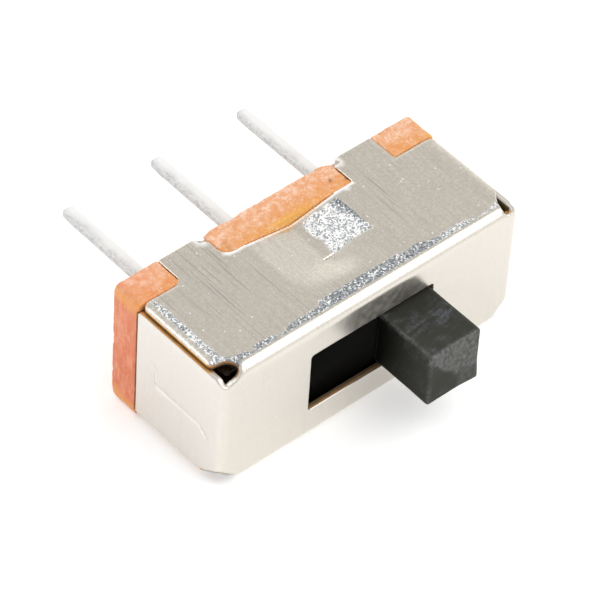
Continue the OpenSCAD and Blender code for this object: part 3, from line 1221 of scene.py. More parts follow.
    def dents(self, flat: Array) -> Array:
        """Marks in the outer face: stamped lines, curls and the sheet's slight waves.

        Args:
            flat: Points of the blank.

        Returns:
            Their depth at each point.
        """
        depth = 0.0035 * lattice_noise(flat, 1.1, Seed.SHEET_WAVE)
        depth += 0.0015 * lattice_noise(flat, 0.35, Seed.SHEET_RIPPLE)
        path = self.stamp_path()
        worn = 0.35 + 0.65 * smooth_step(lattice_noise(flat, 0.45, Seed.STAMP_WEAR), -0.4, 0.1)
        for mirrored in (path, path * (-1, 1)):
            gap = edge_distance(mirrored, flat)[:, :-1].min(axis=1)
            depth += self.stamp_depth * (1 - smooth_step(gap, 0.0, self.stamp_w)) * worn
        for centre in self.curls():
            depth += self.curl_depth * (1 - smooth_step(np.hypot(*(flat - centre).T), 0.0, self.curl_w))
        return depth

    def frost(self, flat: Array) -> dict[str, Array]:
        """Frosting of the plating by the dies.

        Args:
            flat: Points of the blank.

        Returns:
            How strong it is at each point, and the share of its crystals painted white as glints.
        """
        p, q = flat[:, 0], np.abs(flat[:, 1])
        wander = 0.05 * lattice_noise(flat, 0.2, Seed.FROST_EDGE)
        middle = smooth_step(p, -1.5, -1.1) * (1 - smooth_step(p, 1.5, 2.3))
        width = self.frost_band * (0.5 + 0.5 * middle - 0.08 * smooth_step(p, 2.3, 3.2))
        band = smooth_step(q, self.side_start - 0.03, self.side_start + 0.02)
        band *= 1 - smooth_step(q + wander, self.side_start + width - 0.08, self.side_start + width + 0.04)
        band *= 1 - 0.08 * smooth_step(p, 2.4, 3.2)
        pressed = (q > self.side_at(self.lance - self.lance_gap / 2)) & (np.abs(p) < self.tab_x)
        patch = smooth_step(p + wander, 0.08, 0.30)
        patch *= 1 - smooth_step(p, self.spring_half - 0.03, self.spring_half + 0.01)
        patch *= pressed * (1 - smooth_step(q, self.side_at(1.0), self.side_at(0.88)))
        end = self.side_end - self.side_cut.reach
        rim = smooth_step(np.abs(p) + wander, end - 0.14, end) * (1 - smooth_step(np.abs(p), end + 0.04, end + 0.08))
        roll = smooth_step(np.abs(p), end, end + 0.04) * 0.40
        rim = np.maximum(rim * 0.8, roll) * (q > self.side_start) * (p < 0)
        u, v = self.relief_centre
        hole = (0.8 - 0.6 * (p > 0)) * smooth_step(-np.hypot(np.abs(p) - u, q - v), -0.46, -0.38)
        hole *= q > self.side_start - 0.1
        amount = np.maximum(np.maximum(band, hole), np.maximum(patch, rim)) * (np.abs(p) < self.side_end)
        # The bright value sets the share of painted glints in the frost: most on the spring's patch, less at its
        # border and elsewhere.
        border = smooth_step(p + q * 0.15, self.spring_half + 0.28, self.spring_half + 0.6)
        plain = 0.30 + 0.16 * smooth_step(p, 1.9, 2.6) + 0.14 * smooth_step(-p, end - 0.2, end - 0.1)
        return {"frost": amount, "bright": np.where(patch > 0.01, 0.58 - 0.38 * border, plain)}

    def bareness(self, flat: Array) -> Array:
        """How bare the cut edge is, most of all at the left ends of the long sides.

        Args:
            flat: Points of the blank.

        Returns:
            A share for each point.
        """
        p, q = flat[:, 0], np.abs(flat[:, 1])
        across = np.abs(p)
        start, end, top = self.hole_span
        side = (np.abs(across - self.side_end) < 0.05) & (q > self.bare_from[0])
        flap = (across > self.flap_at(self.bare_from[1])) & (q > self.flap_half - 0.12)
        slot = (across < self.slot_half[0] + 0.01) & (q < self.slot_half[1] + 0.01)
        hole = (across > start) & (across < end) & (q > self.flap_half - 0.02) & (q < top)
        tab = (q > self.side_at(self.board) + 0.05) & (across < self.tab_in + 0.02)
        left = np.where(p < 0, 1.0, 0.1)
        return np.clip(left * side + 0.9 * left * flap + 0.85 * slot + 0.8 * (hole & ~side) + 0.5 * tab, 0, 1)

    def curls(self) -> list[Array]:
        """Places in the blank where the clinched corner of each tab curls into the board."""
        across, along = self.tab_in + 0.12, self.side_at(0.0) - 0.13
        return [np.array([i * across, j * along]) for i in SIGNS for j in SIGNS]

    def groove(self, flat: Array) -> Array:
        """Painted shade and painted highlight on the stamped lines and on the finest edges.

        Args:
            flat: Points of the blank.

        Returns:
            A value for each point: positive for painted shade, negative for painted highlight.
        """
        shade = np.zeros(len(flat))
        p, q = np.abs(flat).T
        path = self.stamp_path()
        worn = 0.3 + 0.7 * smooth_step(lattice_noise(flat, 0.4, Seed.STAMP_WEAR), -0.7, 0.1)
        # Painted shade on one flank of each stamped line, painted highlight on the other.
        for mirrored in (path, path * (-1, 1)):
            gap = edge_distance(mirrored, flat)[:, :-1]
            nearest = gap.argmin(axis=1)
            dx, dy = (np.roll(mirrored, -1, axis=0) - mirrored)[nearest].T
            x, y = (flat - mirrored[nearest]).T
            above = y + x * (-dy / np.where(np.abs(dx) < 1e-6, 1e9, dx))
            flank = np.where(np.abs(dx) < 0.02, -np.sign(x), np.sign(above))
            shade += np.where(flank > 0, *self.flanks) * (1 - smooth_step(gap.min(axis=1), 0.0, 0.06)) * worn
        # Painted shadow: a dark line along the flap's edge where it meets the board.
        shade += self.rim_shade * (1 - smooth_step(self.flap_at(self.board) - p, 0.01, 0.045))
        # Painted highlight: a light line along the lanced line.
        lanced = (flat[:, 0] > self.lance_tip) & (flat[:, 0] < self.spring_half + 0.04)
        shade -= self.lance_line * (1 - smooth_step(np.abs(q - self.side_at(self.lance)), 0.0, 0.04)) * lanced
        # Painted highlight: a light line along the notch edges next to the board.
        free = np.abs(q - self.side_at(self.board + self.lance_gap * (p < self.spring_half)))
        shade -= (1 - smooth_step(free, 0.06, 0.10)) * (p < self.tab_in)
        # Painted shade in the hollow of each curl, with a ring of painted highlight round it.
        for centre in self.curls():
            gap = np.hypot(*(flat - centre).T)
            shade += 1.4 * (1 - smooth_step(gap, 0.04, 0.085)) - 0.9 * np.exp(-((gap - 0.105) / 0.03) ** 2)
        return np.clip(shade, -1, 1)

    def build(self, materials: Sequence[bpy.types.Material]) -> bpy.types.Object:
        """Makes the cover.

        Args:
            materials: Materials of the plated faces, the cut edges and the inner face.

        Returns:
            The cover's object.
        """
        loops, rolls = self.blank()
        flat, tris = triangulate(loops, self.loose_points(loops, rolls))
        face, out = self.place(flat)
        drop = np.minimum(self.roll_drop(loops, rolls, flat), self.sheet * 0.8) + self.dents(flat)
        values = {"across": flat[:, 0], "along": flat[:, 1]}
        shell = Shell()
        # The outer face carries the painted shade and painted highlight of the lines and edges.
        outer = shell.add(face - out * drop[:, None], tris, 0, groove=self.groove(flat), **self.frost(flat), **values)
        inner = shell.add(face - out * self.sheet, tris[:, ::-1], 2, bare=self.bareness(flat),
                          deep=np.ones(len(flat)), **values)
        rim = open_edges(tris)
        ends, index = np.unique(rim, return_inverse=True)
        bare = self.bareness(flat[ends])
        depth = drop[ends] + (self.sheet - drop[ends]) * self.burnish * (1 - 0.9 * bare)
        # Painted shade: the cut edges of the slot start darker.
        slot_shade = 0.25 * (np.abs(flat[ends, 0]) < self.slot_half[0] + 0.01)
        line = shell.add(face[ends] - out[ends] * depth[:, None], [], 0, bare=bare, deep=slot_shade,
                         **{name: value[ends] for name, value in values.items()})
        joined = list(zip(rim, index.reshape(rim.shape)))
        shell.link([(outer + b, outer + a, line + i, line + j) for (a, b), (i, j) in joined], 0)
        shell.link([(line + j, line + i, inner + a, inner + b) for (a, b), (i, j) in joined], 1)
        self.add_lugs(shell)
        return shell.build("folded_cover", materials, sharp=50)

    def add_lugs(self, shell: Shell) -> None:
        """Adds the bent corners of the four tabs, which bite into the board.

        Args:
            shell: Mesh to add to.
        """
        low, high = self.half_w - self.sheet - self.clinch_bite, self.half_w - 0.05
        lean = self.clinch_t / math.sqrt(2)
        plan = np.array([[self.tab_in, -self.clinch], [self.tab_in + lean, -self.clinch - lean],
                         [self.tab_in + self.clinch + lean, -lean], [self.tab_in + self.clinch, 0.0]])
        walls = [(i, (i + 1) % 4, (i + 1) % 4 + 4, i + 4) for i in range(4)]
        for sx in SIGNS:
            for sz in SIGNS:
                rings = [np.column_stack([plan * (sx, 1), np.full(4, sz * z)]) for z in (low, high)]
                faces = [*walls, (3, 2, 1, 0), (4, 5, 6, 7)]
                shell.add(np.vstack(rings), faces if sx * sz > 0 else [face[::-1] for face in faces], 0)


# ---- Slabs: board and terminals --------------------------------------------------------


@dataclass
class Slab:
    """Flat piece with a wall round its outline and holes, made of rings and two caps."""

    loops: Sequence[Array]
    rings: Callable[[Array, int], list[tuple[Array, Array]]]
    place: Callable[[Array, Array], Array]
    values: Callable[[Array, Array], dict[str, Array]]
    spacing: float

    def add_to(self, shell: Shell) -> None:
        """Adds the slab to a mesh.

        Args:
            shell: Mesh to add to.
        """
        caps: tuple[list[Array], list[Array], list[Array], list[Array]] = ([], [], [], [])
        for number, loop in enumerate(self.loops):
            normal = inward_normals(loop)
            rows = [(loop + normal * inset[:, None], height) for height, inset in self.rings(loop, number)]
            flat = np.vstack([r[0] for r in rows])
            height = np.concatenate([r[1] for r in rows])
            count = len(loop)
            starts = range(0, (len(rows) - 1) * count, count)
            faces = [(k + i, k + (i + 1) % count, k + count + (i + 1) % count, k + count + i)
                     for k in starts for i in range(count)]
            shell.add(self.place(flat, height), faces, 0, **self.values(flat, height))
            for cap, part in zip(caps, (*rows[0], *rows[-1])):
                cap.append(part)
        for loops, heights, flip in ((caps[0], caps[1], True), (caps[2], caps[3], False)):
            known, level = np.vstack(loops), np.concatenate(heights)
            grid = grid_points(known.min(0) + self.spacing / 2, known.max(0), self.spacing)
            grid = grid[inside(loops, grid)]
            for loop in loops:
                if len(grid):
                    grid = grid[edge_distance(loop, grid).min(axis=1) > self.spacing * 0.4]
            flat, tris = triangulate(loops, grid)
            height = np.full(len(flat), float(np.mean(level)))
            for i, point in enumerate(flat):
                gap = np.abs(known - point).sum(axis=1)
                if gap.min() < 1e-6:
                    height[i] = level[gap.argmin()]
            shell.add(self.place(flat, height), tris[:, ::-1] if flip else tris, 0, **self.values(flat, height))


def fall_round(share: float) -> float:
    """Inset of a rounded rim, as a share of its size, at a share of the way down it."""
    return 1 - math.sqrt(1 - (1 - share) ** 2)


@dataclass
class TerminalBoard:
    """Punched board that closes the cover and carries the terminals."""

    half_len: float
    half_w: float
    thick: float = 0.8
    tab_x: float = 2.44
    tab_w: float = 1.22
    tab_gap: float = 0.006
    sheet: float = 0.15
    pitch: float = 2.54
    neck: tuple[float, float] = (0.58, 0.17)
    corner: float = 0.16
    relieved: float = 0.08
    relieved_x: float = -1.72
    lip: float = 0.02
    # Dark spots on the board's top edge, as place across, height and size: pits, and at the notch corners partly
    # painted shadow.
    pit_and_shade_spots: tuple[tuple[float, float, float], ...] = ((1.48, 0.49, 0.045), (-1.74, 0.70, 0.05), (1.79, 0.66, 0.05))

    def outline(self) -> list[Array]:
        """Outline with a recess for each tab, and the three slots.

        Returns:
            The loops.
        """
        inner = self.tab_x - self.tab_w / 2 - self.tab_gap
        outer = self.tab_x + self.tab_w / 2 + self.tab_gap
        low = self.half_w - self.sheet
        right = [(outer, self.half_w, 0.05), (outer, low, 0.03), (inner, low, 0.03), (inner, self.half_w, 0.06)]
        top = [(self.half_len, self.half_w, self.corner), *right,
               *[(-x, z, r) for x, z, r in right[::-1]], (-self.half_len, self.half_w, self.corner)]
        bottom = [(-x, -z, r) for x, z, r in top]
        loops = [divided(round_corners([*top, *bottom]), 0.06)[0]]
        hole = rectangle(self.neck[0] / 2, self.neck[1] / 2, 0.02, 3)
        return loops + [divided(hole + (i * self.pitch, 0), 0.08)[0] for i in (-1, 0, 1)]

    def rings(self, loop: Array, number: int) -> list[tuple[Array, Array]]:
        """Rings of the wall: chipped at both rims, and fibrous between them.

        Args:
            loop: The outline or a slot.
            number: 0 for the outline.

        Returns:
            Heights and insets of the points of each ring.
        """
        ones = np.ones(len(loop))
        lip = self.lip
        if number:
            return [(w * ones, inset * ones) for w, inset in (
                (0.0, lip), (lip, 0.0), (self.thick - lip, 0.0), (self.thick, lip))]
        x, z = loop.T
        chips = np.clip(lattice_noise(loop, 0.22, Seed.BOARD_CHIPS), 0, 1)
        nicks = np.clip(lattice_noise(loop, 0.09, Seed.BOARD_NICKS), 0, 1)
        edge = 0.035 + 0.05 * (chips + 0.5 * nicks)
        inner = self.tab_x - self.tab_w / 2
        ends = smooth_step(np.abs(x), inner - 0.3, inner - 0.03) * (np.abs(x) < inner + 0.05)
        chip = np.exp(-(np.hypot(x + self.half_len, z + self.half_w) / 0.2) ** 2)
        back = edge + 0.13 * ends + 0.12 * chip
        front = edge * (0.6 + 0.5 * (np.abs(x) > self.half_len - 0.02))
        by_tab = smooth_step(-np.abs(x - self.relieved_x), -0.22, -0.12) * (z > self.half_w - 0.1)
        out = [(back * share, back * fall_round(share)) for share in (0.0, 0.08, 0.3, 0.62, 1.0)]
        for w in np.linspace(0.24, self.thick - 0.16, 6):
            where = np.column_stack([loop, np.full(len(loop), w)]) * (1, 1, 3)
            wave = 0.008 * lattice_noise(where, 0.3, Seed.BOARD_WAVE)
            fibre = 0.006 * lattice_noise(where, 0.12, Seed.BOARD_FIBRE)
            out.append((w * ones, np.clip(wave + fibre + 0.006, 0, None)))
        out += [(self.thick - front * share, front * fall_round(share)) for share in (1.0, 0.6, 0.25, 0.0)]
        return [(height, inset + self.relieved * by_tab * smooth_step(height, 0.3, 0.5)) for height, inset in out]

    def place(self, flat: Array, height: Array) -> Array:
        """Stands the slab upright behind the terminals."""
        return np.column_stack([flat[:, 0], -height, flat[:, 1]])

    def values(self, flat: Array, height: Array) -> dict[str, Array]:
        """Tells the ends, the outer face and the chipped corner apart.

        Args:
            flat: Points in the slab's plane.
            height: Their heights above its back.

        Returns:
            Vertex values by name.
        """
        x, z = flat.T
        side, from_end, from_rim = np.abs(x), np.abs(x) - self.half_len, np.abs(z) - self.half_w
        corner = np.hypot(np.hypot(x + self.half_len, z + self.half_w), height)
        front = smooth_step(height, self.thick - 0.2, self.thick - 0.02)
        spots = np.exp(-(x / 0.8) ** 2) + np.exp(-(np.hypot(from_end, from_rim) / 0.2) ** 2)
        pit_and_shade_spots = sum(np.exp(-(np.hypot(x - at, height - w) / size) ** 2) for at, w, size in self.pit_and_shade_spots)
        # Painted shadow: a dark line along each end's rim where the board meets the flap, and the dark spots on the
        # top edge.
        seam = 0.85 * smooth_step(height, self.thick - 0.045, self.thick - 0.02)
        seam *= (side > self.half_len - 0.06) * (np.abs(z) < self.half_w - 0.2)
        return {"middle": 1 - smooth_step(np.abs(z), self.half_w - 0.7, self.half_w - 0.1),
                "end": smooth_step(side, self.half_len - 0.07, self.half_len - 0.02),
                "outer": 1 - height / self.thick,
                "amber": front * np.clip(spots, 0, 1),
                "seam": seam + 0.9 * np.clip(pit_and_shade_spots * (z > self.half_w - 0.12), 0, 1),
                "chip": 1 - smooth_step(corner + 0.03 * lattice_noise(flat, 0.05, Seed.CORNER_CHIP), 0.10, 0.17)}

    def build(self, materials: Sequence[bpy.types.Material]) -> bpy.types.Object:
        """Makes the board.

        Args:
            materials: Its material, in a list of one.

        Returns:
            The board's object.
        """
        shell = Shell()
        Slab(self.outline(), self.rings, self.place, self.values, 0.22).add_to(shell)
        return shell.build("terminal_board", materials, sharp=45)


@dataclass
class Terminals:
    """Three stamped terminals in a row."""

    count: int = 3
    thick: float = 0.15
    pin_w: float = 0.34
    pin_len: float = 3.7
    neck_w: float = 0.56
    blade_w: float = 0.9
    blade_len: float = 1.5
    board: float = 0.8
    neck_sink: float = 0.15
    tip: float = 0.09
    taper: tuple[float, float] = (0.025, 0.4)
    pitch: float = 2.54
    edge: float = 0.02
    wave: float = 0.004
    wander: float = 0.002

    def outline(self) -> Array:
        """Outline of one terminal: pin, neck and blade.

        Returns:
            The loop.
        """
        p, n, b = self.pin_w / 2, self.neck_w / 2, self.blade_w / 2
        neck, end = -self.board, -self.board - self.blade_len
        narrow, back = self.taper
        half = [(p - narrow, self.pin_len, self.tip), (narrow - p, self.pin_len, self.tip),
                (-p, self.pin_len - back, 0.1), (-p, -self.neck_sink, 0.03),
                (-n, -self.neck_sink, 0.02), (-n, neck, 0.02), (-b, neck, self.tip), (-b, end, self.tip)]
        other = [(-x, y, r) for x, y, r in half[:0:-1]]
        return divided(round_corners([*half, *other[:-1]]), 0.1)[0]

    def rings(self, loop: Array, number: int) -> list[tuple[Array, Array]]:
        """Rings of the wall, with rolled and broken edges.

        Args:
            loop: The outline.
            number: Its number, which makes no difference here.

        Returns:
            Heights and insets of the points of each ring.
        """
        ones, e = np.ones(len(loop)), self.edge
        return [(w * ones, inset * ones) for w, inset in (
            (0.0, e), (e * 0.3, e * 0.3), (e, 0.0), (self.thick - e * 0.5, 0.0), (self.thick, e * 0.5))]

    def place(self, flat: Array, height: Array) -> Array:
        """Lays the strip level, with faint waves of its faces."""
        wave = self.wave * lattice_noise(flat, 0.5, Seed.STRIP_WAVE)
        return np.column_stack([flat, height - self.thick / 2 + wave])

    def values(self, flat: Array, height: Array) -> dict[str, Array]:
        """Place across the pin, from -1 to 1 on it."""
        return {"side": flat[:, 0] * 2 / self.pin_w}

    def row_tree(self) -> bpy.types.NodeTree:
        """Geometry nodes that set copies of a piece in a row, each slightly off its place.

        Returns:
            The node group.
        """
        tree = bpy.data.node_groups.new("terminal row", "GeometryNodeTree")
        g = Graph(tree)
        for name, kind in (("Geometry", "Geometry"), ("Count", "Int"), ("Pitch", "Float"), ("Wander", "Float"),
                           ("Finish", "Material")):
            tree.interface.new_socket(name, in_out="INPUT", socket_type="NodeSocket" + kind)
        tree.interface.new_socket("Geometry", in_out="OUTPUT", socket_type="NodeSocketGeometry")
        into = g.node("NodeGroupInput").outputs
        offset = g.out("CombineXYZ", {"X": into["Pitch"]})
        half = g.math("SUBTRACT", into["Count"], 1.0) * -0.5
        start = g.out("VectorMath", {0: offset, "Scale": half}, operation="SCALE")
        line = g.out("GeometryNodeMeshLine", {"Count": into["Count"], "Offset": offset, "Start Location": start},
                     mode="OFFSET")
        chance = g.out("FunctionNodeRandomValue", {"Seed": int(Seed.TERMINAL_TURN), "Min": (0.0, -1.0, -1.0),
                                                   "Max": (0.0, 1.0, 1.0)}, data_type="FLOAT_VECTOR")
        turn = g.out("VectorMath", {0: chance, "Scale": into["Wander"]}, operation="SCALE")
        copies = g.out("GeometryNodeInstanceOnPoints", {"Points": line, "Instance": into["Geometry"],
                                                        "Rotation": turn})
        real = g.out("GeometryNodeRealizeInstances", {0: copies})
        paint = g.out("GeometryNodeSetMaterial", {"Geometry": real, "Material": into["Finish"]})
        g.node("NodeGroupOutput", {"Geometry": paint})
        return tree

    def build(self, materials: Sequence[bpy.types.Material]) -> bpy.types.Object:
        """Makes the row of terminals from one terminal at its middle.

        Args:
            materials: Their material, in a list of one.

        Returns:
            The row's object.
        """
        shell = Shell()
        Slab([self.outline()], self.rings, self.place, self.values, 0.12).add_to(shell)
        made = shell.build("terminal_row", materials, sharp=50)
        modifier = made.modifiers.new("row", "NODES")
        modifier.node_group = self.row_tree()
        inputs = {"Count": self.count, "Pitch": self.pitch * MM, "Wander": self.wander, "Finish": materials[0]}
        for item in modifier.node_group.interface.items_tree:
            if item.in_out == "INPUT" and item.name in inputs:
                modifier[item.identifier] = inputs[item.name]
        return settled(made)


def settled(made: bpy.types.Object) -> bpy.types.Object:
    """Turns an object's modifiers into its mesh.

    Args:
        made: Object with modifiers.

    Returns:
        The same object, with a plain mesh and no modifiers.
    """
    graph = bpy.context.evaluated_depsgraph_get()
    mesh = bpy.data.meshes.new_from_object(made.evaluated_get(graph), preserve_all_data_layers=True, depsgraph=graph)
    mesh.name = made.name
    made.modifiers.clear()
    made.data = mesh
    return made


# ---- Slider -----------------------------------------------------------------------------


@dataclass
class SliderLever:
    """Slider with the lever that stands out of the cover's slot."""

    node: bpy.types.Object
    root: float
    tip: float
    centre: float
    half: tuple[float, float] = (0.725, 0.745)
    sunk: float = 0.1
    edge: float = 0.07
    cells: int = 26
    crowding: float = 1.6
    waves: float = 0.004
    swelling: tuple[float, float, float] = (0.05, 0.0, -0.06)

    def body(self) -> bpy.types.Object:
        """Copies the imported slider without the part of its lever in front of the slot.

        Returns:
            The copy.
        """
        work = bmesh.new()
        work.from_mesh(self.node.data)
        bmesh.ops.remove_doubles(work, verts=work.verts, dist=1e-7)
        cut = bmesh.ops.bisect_plane(work, geom=[*work.verts, *work.edges, *work.faces],
                                     plane_co=(0, self.root * MM, 0), plane_no=(0, -1, 0), clear_outer=True)
        rim = [e for e in cut["geom_cut"] if isinstance(e, bmesh.types.BMEdge)]
        bmesh.ops.edgeloop_fill(work, edges=rim)
        mesh = bpy.data.meshes.new("slider")
        work.to_mesh(mesh)
        work.free()
        mesh.materials.clear()
        return placed("slider_and_lever", mesh)

    def lever(self) -> Shell:
        """Makes the lever: a block with soft edges, slightly uneven faces and wear.

        Returns:
            Its mesh.
        """
        low = np.array([self.centre - self.half[0], self.tip, -self.half[1]])
        high = np.array([self.centre + self.half[0], self.root + self.sunk, self.half[1]])
        middle, half = (low + high) / 2, (high - low) / 2
        line = self.cells + 1
        ease = np.linspace(-1, 1, line)
        ease = np.sign(ease) * (1 - (1 - np.abs(ease)) ** self.crowding)
        u, v = (a.ravel() for a in np.meshgrid(ease, ease, indexing="ij"))
        quads = [(i + j, i + line + j, i + line + j + 1, i + j + 1)
                 for i in range(0, self.cells * line, line) for j in range(self.cells)]
        shell = Shell()
        for axis in range(3):
            for sign in SIGNS:
                cube = np.empty((len(u), 3))
                for k, part in enumerate((sign, u, v)):
                    cube[:, (axis + k) % 3] = part
                raw = cube * half
                core = np.clip(raw, self.edge - half, half - self.edge)
                away = raw - core
                place = middle + core + away / np.maximum(np.linalg.norm(away, axis=1), 1e-9)[:, None] * self.edge
                near = np.sort(half - np.abs(raw), axis=1)[:, 1]
                rub = 0.55 + 0.45 * lattice_noise(place, 0.25, Seed.LEVER_RUB)
                rub = rub * (1 - smooth_step(near, 0.02, 0.11))
                wave = self.waves * lattice_noise(place, 0.3, Seed.LEVER_WAVE)
                place = place + wave[:, None] + self.swell(place)
                # Painted shade: the lever is painted darker towards its root in the slot, and its face at negative X
                # much darker.
                outer = 1 - smooth_step(place[:, 1], self.tip + 0.1, self.root)
                painted_light_share = 0.04 + 0.9 * outer if axis == 0 and sign < 0 else 0.75 + 0.25 * outer
                shell.add(place, [q if sign > 0 else q[::-1] for q in quads], 0, rub=np.clip(rub, 0, 1),
                          graze=self.graze(place), open=painted_light_share)
        return shell

    def swell(self, place: Array) -> Array:
        """Pushes the lever's outer corner at positive X and negative Z outwards, as if it had been struck.

        Args:
            place: Points of the lever.

        Returns:
            How far each point moves.
        """
        x, z = (place[:, 0] - self.centre) / self.half[0], place[:, 2] / self.half[1]
        near = smooth_step(x, 0.1, 1.0) * smooth_step(-z, 0.1, 1.0)
        near *= 1 - smooth_step(place[:, 1], self.tip, self.tip + 0.5)
        return near[:, None] * self.swelling

    def graze(self, place: Array) -> Array:
        """How far the corner of the lever's end face is grazed.

        Args:
            place: Points of the lever.

        Returns:
            A share for each point.
        """
        x, z = place[:, 0] - self.centre, place[:, 2]
        line = z + 0.25 - 0.9 * np.maximum(0, 0.05 - x)
        torn = 0.1 * lattice_noise(place, 0.22, Seed.LEVER_GRAZE)
        corner = smooth_step(np.minimum(line, x + 0.95 + z) + torn, 0.0, 0.12)
        lower = 0.5 * smooth_step(x + 0.15 * torn, 0.05, 0.25)
        return np.maximum(corner, lower) * (1 - smooth_step(place[:, 1], self.tip + 0.05, self.tip + 0.1))

    def build(self, materials: Sequence[bpy.types.Material]) -> bpy.types.Object:
        """Makes the slider and its lever as one piece.

        Args:
            materials: Its material, in a list of one.

        Returns:
            The piece's object.
        """
        made = self.body()
        mesh = made.data
        front = self.lever().build("lever", materials)
        # The slider's own points get open = 0, so it is painted in the shaded black.
        for name in ("rub", "graze", "open"):
            mesh.attributes.new(name, "FLOAT", "POINT")
        work = bmesh.new()
        work.from_mesh(mesh)
        work.from_mesh(front.data)
        work.to_mesh(mesh)
        work.free()
        bpy.data.objects.remove(front)
        mesh.materials.clear()
        for material in materials:
            mesh.materials.append(material)
        mesh.polygons.foreach_set("material_index", [0] * len(mesh.polygons))
        mesh.shade_smooth()
        mesh.set_sharp_from_angle(angle=math.radians(40))
        return made


# ---- Studio ----------------------------------------------------------------------------------


def direction(azimuth: float, elevation: float) -> Vector:
    """Direction away from the object.

    Args:
        azimuth: Angle in degrees round the object, 0 on the lever's side.
        elevation: Angle in degrees above the horizon.

    Returns:
        A vector of length 1.
    """
    turn, rise = math.radians(azimuth), math.radians(elevation)
    return Vector((math.sin(turn) * math.cos(rise), -math.cos(turn) * math.cos(rise), math.sin(rise)))


@dataclass(frozen=True)
class Lamp:
    """Soft square lamp that faces the object; a radiance of 1 is that of a white wall in plain light."""

    name: str
    azimuth: float
    elevation: float
    size: float
    radiance: float
    distance: float = 300.0

    def build(self) -> None:
        """Makes the lamp."""
        data = bpy.data.lights.new(self.name, "AREA")
        data.shape = "SQUARE"
        data.size = self.size * MM
        data.energy = self.radiance * math.pi * (self.size * MM) ** 2
        made = placed(self.name, data)
        away = direction(self.azimuth, self.elevation)
        made.location = away * self.distance * MM
        made.rotation_euler = away.to_track_quat("Z", "Y").to_euler()


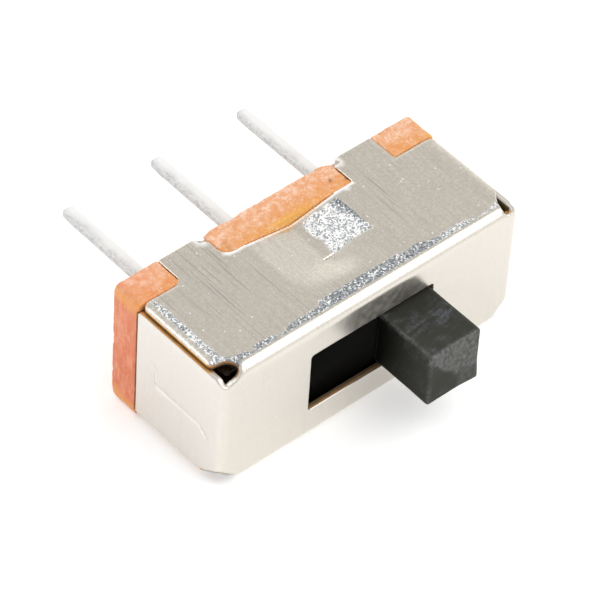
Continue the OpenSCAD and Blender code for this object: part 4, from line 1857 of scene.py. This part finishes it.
@dataclass
class Studio:
    """Pale floor, soft light and the camera."""

    ground: float
    azimuth: float = -44.02
    elevation: float = 46.145
    roll: float = 4.04
    distance: float = 93.726
    aim: tuple[float, float, float] = (-0.010, -1.327, -0.405)
    lens: float = 256.4
    sensor: float = 36.0
    clip: tuple[float, float] = (0.005, 10.0)
    floor_side: float = 1800.0
    floor_colour: Colour = (0.90, 0.90, 0.90)
    floor_glow: float = 0.30
    sky_from: tuple[float, float] = (0.36, 0.73)
    sky: tuple[float, float] = (0.97, 0.65)
    lamps: tuple[Lamp, ...] = (Lamp("overhead", 45.0, 52.0, 260.0, 1.9), Lamp("behind", -153.0, 56.0, 130.0, 2.2))

    def floor(self) -> None:
        """Makes the floor, which the camera and gloss see a little brighter than it is lit."""
        shell = Shell()
        corners = ((-1, -1), (1, -1), (1, 1), (-1, 1))
        shell.add(np.array([(*(np.array(c) * self.floor_side / 2), self.ground) for c in corners]), [(0, 1, 2, 3)])
        g = new_graph("floor")
        camera, gloss, glass = (g.out("LightPath", key=f"Is {ray} Ray")
                                for ray in ("Camera", "Glossy", "Transmission"))
        glow = g.out("Emission", {"Color": WHITE, "Strength": camera.most(gloss).most(glass) * self.floor_glow})
        both = g.out("AddShader", {0: g.out("BsdfDiffuse", {"Color": self.floor_colour}), 1: glow})
        g.node("OutputMaterial", {"Surface": both})
        shell.build("floor", [g.owner])

    def world(self) -> None:
        """Makes the even light of the room, brighter near the horizon than overhead."""
        g = Graph(bpy.data.worlds.new("room"))
        height = g.out("SeparateXYZ", {0: g.out("TexCoord", key="Generated")}, "Z")
        light = g.out("Background", {"Color": WHITE, "Strength": height.spread(*self.sky_from, *self.sky)})
        g.node("OutputWorld", {"Surface": light})
        bpy.context.scene.world = g.owner

    def camera(self) -> None:
        """Sets the camera."""
        back, roll = direction(self.azimuth, self.elevation), math.radians(self.roll)
        right = Vector((0, 0, 1)).cross(back).normalized()
        up = back.cross(right)
        right, up = right * math.cos(roll) + up * math.sin(roll), up * math.cos(roll) - right * math.sin(roll)
        data = bpy.data.cameras.new("camera")
        data.lens, data.sensor_width = self.lens, self.sensor
        data.clip_start, data.clip_end = self.clip
        made = placed("camera", data)
        turned = Matrix((right, up, back)).transposed().to_4x4()
        turned.translation = (Vector(self.aim) + back * self.distance) * MM
        made.matrix_world = turned
        bpy.context.scene.camera = made

    def build(self) -> None:
        """Sets up the whole studio."""
        bpy.context.scene.view_settings.view_transform = "Standard"
        self.floor()
        self.world()
        for lamp in self.lamps:
            lamp.build()
        self.camera()


# ---- The switch -------------------------------------------------------------------------------


def box_mm(node: str) -> tuple[Array, Array]:
    """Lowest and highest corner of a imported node, in millimetres."""
    low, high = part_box(node)
    return np.array(low) / MM, np.array(high) / MM


def carry(made: bpy.types.Object, body: Body, finish: Finish, *nodes: str) -> None:
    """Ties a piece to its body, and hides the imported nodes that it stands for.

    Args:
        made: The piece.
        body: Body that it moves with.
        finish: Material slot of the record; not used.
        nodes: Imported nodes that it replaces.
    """
    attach(made, body.value)
    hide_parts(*nodes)
    log.info("%s rides on %s with %d faces", made.name, body.value, len(made.data.polygons))


def dress(node: bpy.types.Object, material: bpy.types.Material) -> None:
    """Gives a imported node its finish.

    Args:
        node: The node, which keeps its mesh.
        material: The finish.
    """
    node.data.materials.clear()
    node.data.materials.append(material)
    log.info("%s keeps its packed mesh", node.name)


def main() -> None:
    """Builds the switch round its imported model, and the studio."""
    logging.basicConfig(level=logging.INFO, format="%(name)s: %(message)s")
    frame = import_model()
    low, high = box_mm("cover")
    cover = Cover(half_len=high[0], half_w=high[2], depth=-low[1])
    sheet = [NickelSheet().build(), ShearedEdge().build(), InnerSkin().build()]
    carry(cover.build(sheet), Body.HOUSING, Finish.NICKEL, "cover")
    board = TerminalBoard(half_len=high[0], half_w=high[2])
    carry(board.build([BoardLaminate().build()]), Body.HOUSING, Finish.LAMINATE, "board")
    row = Terminals().build([TinnedStrip().build()])
    carry(row, Body.HOUSING, Finish.TIN, "terminal_left", "terminal_middle", "terminal_right")
    tip = box_mm("slider")[0][1]
    travel = -frame["joints"][0]["range_m"][0] / MM
    slider = SliderLever(frame["nodes"]["slider"], root=low[1] + 0.1, tip=tip, centre=travel / 2)
    carry(slider.build([BlackPlastic().build()]), Body.LEVER, Finish.PLASTIC, "slider")
    dress(frame["nodes"]["moving_contact"], ContactBronze().build())
    Studio(ground=float(low[2]) - FLOOR_GAP).build()


if __name__ == "__main__":
    main()
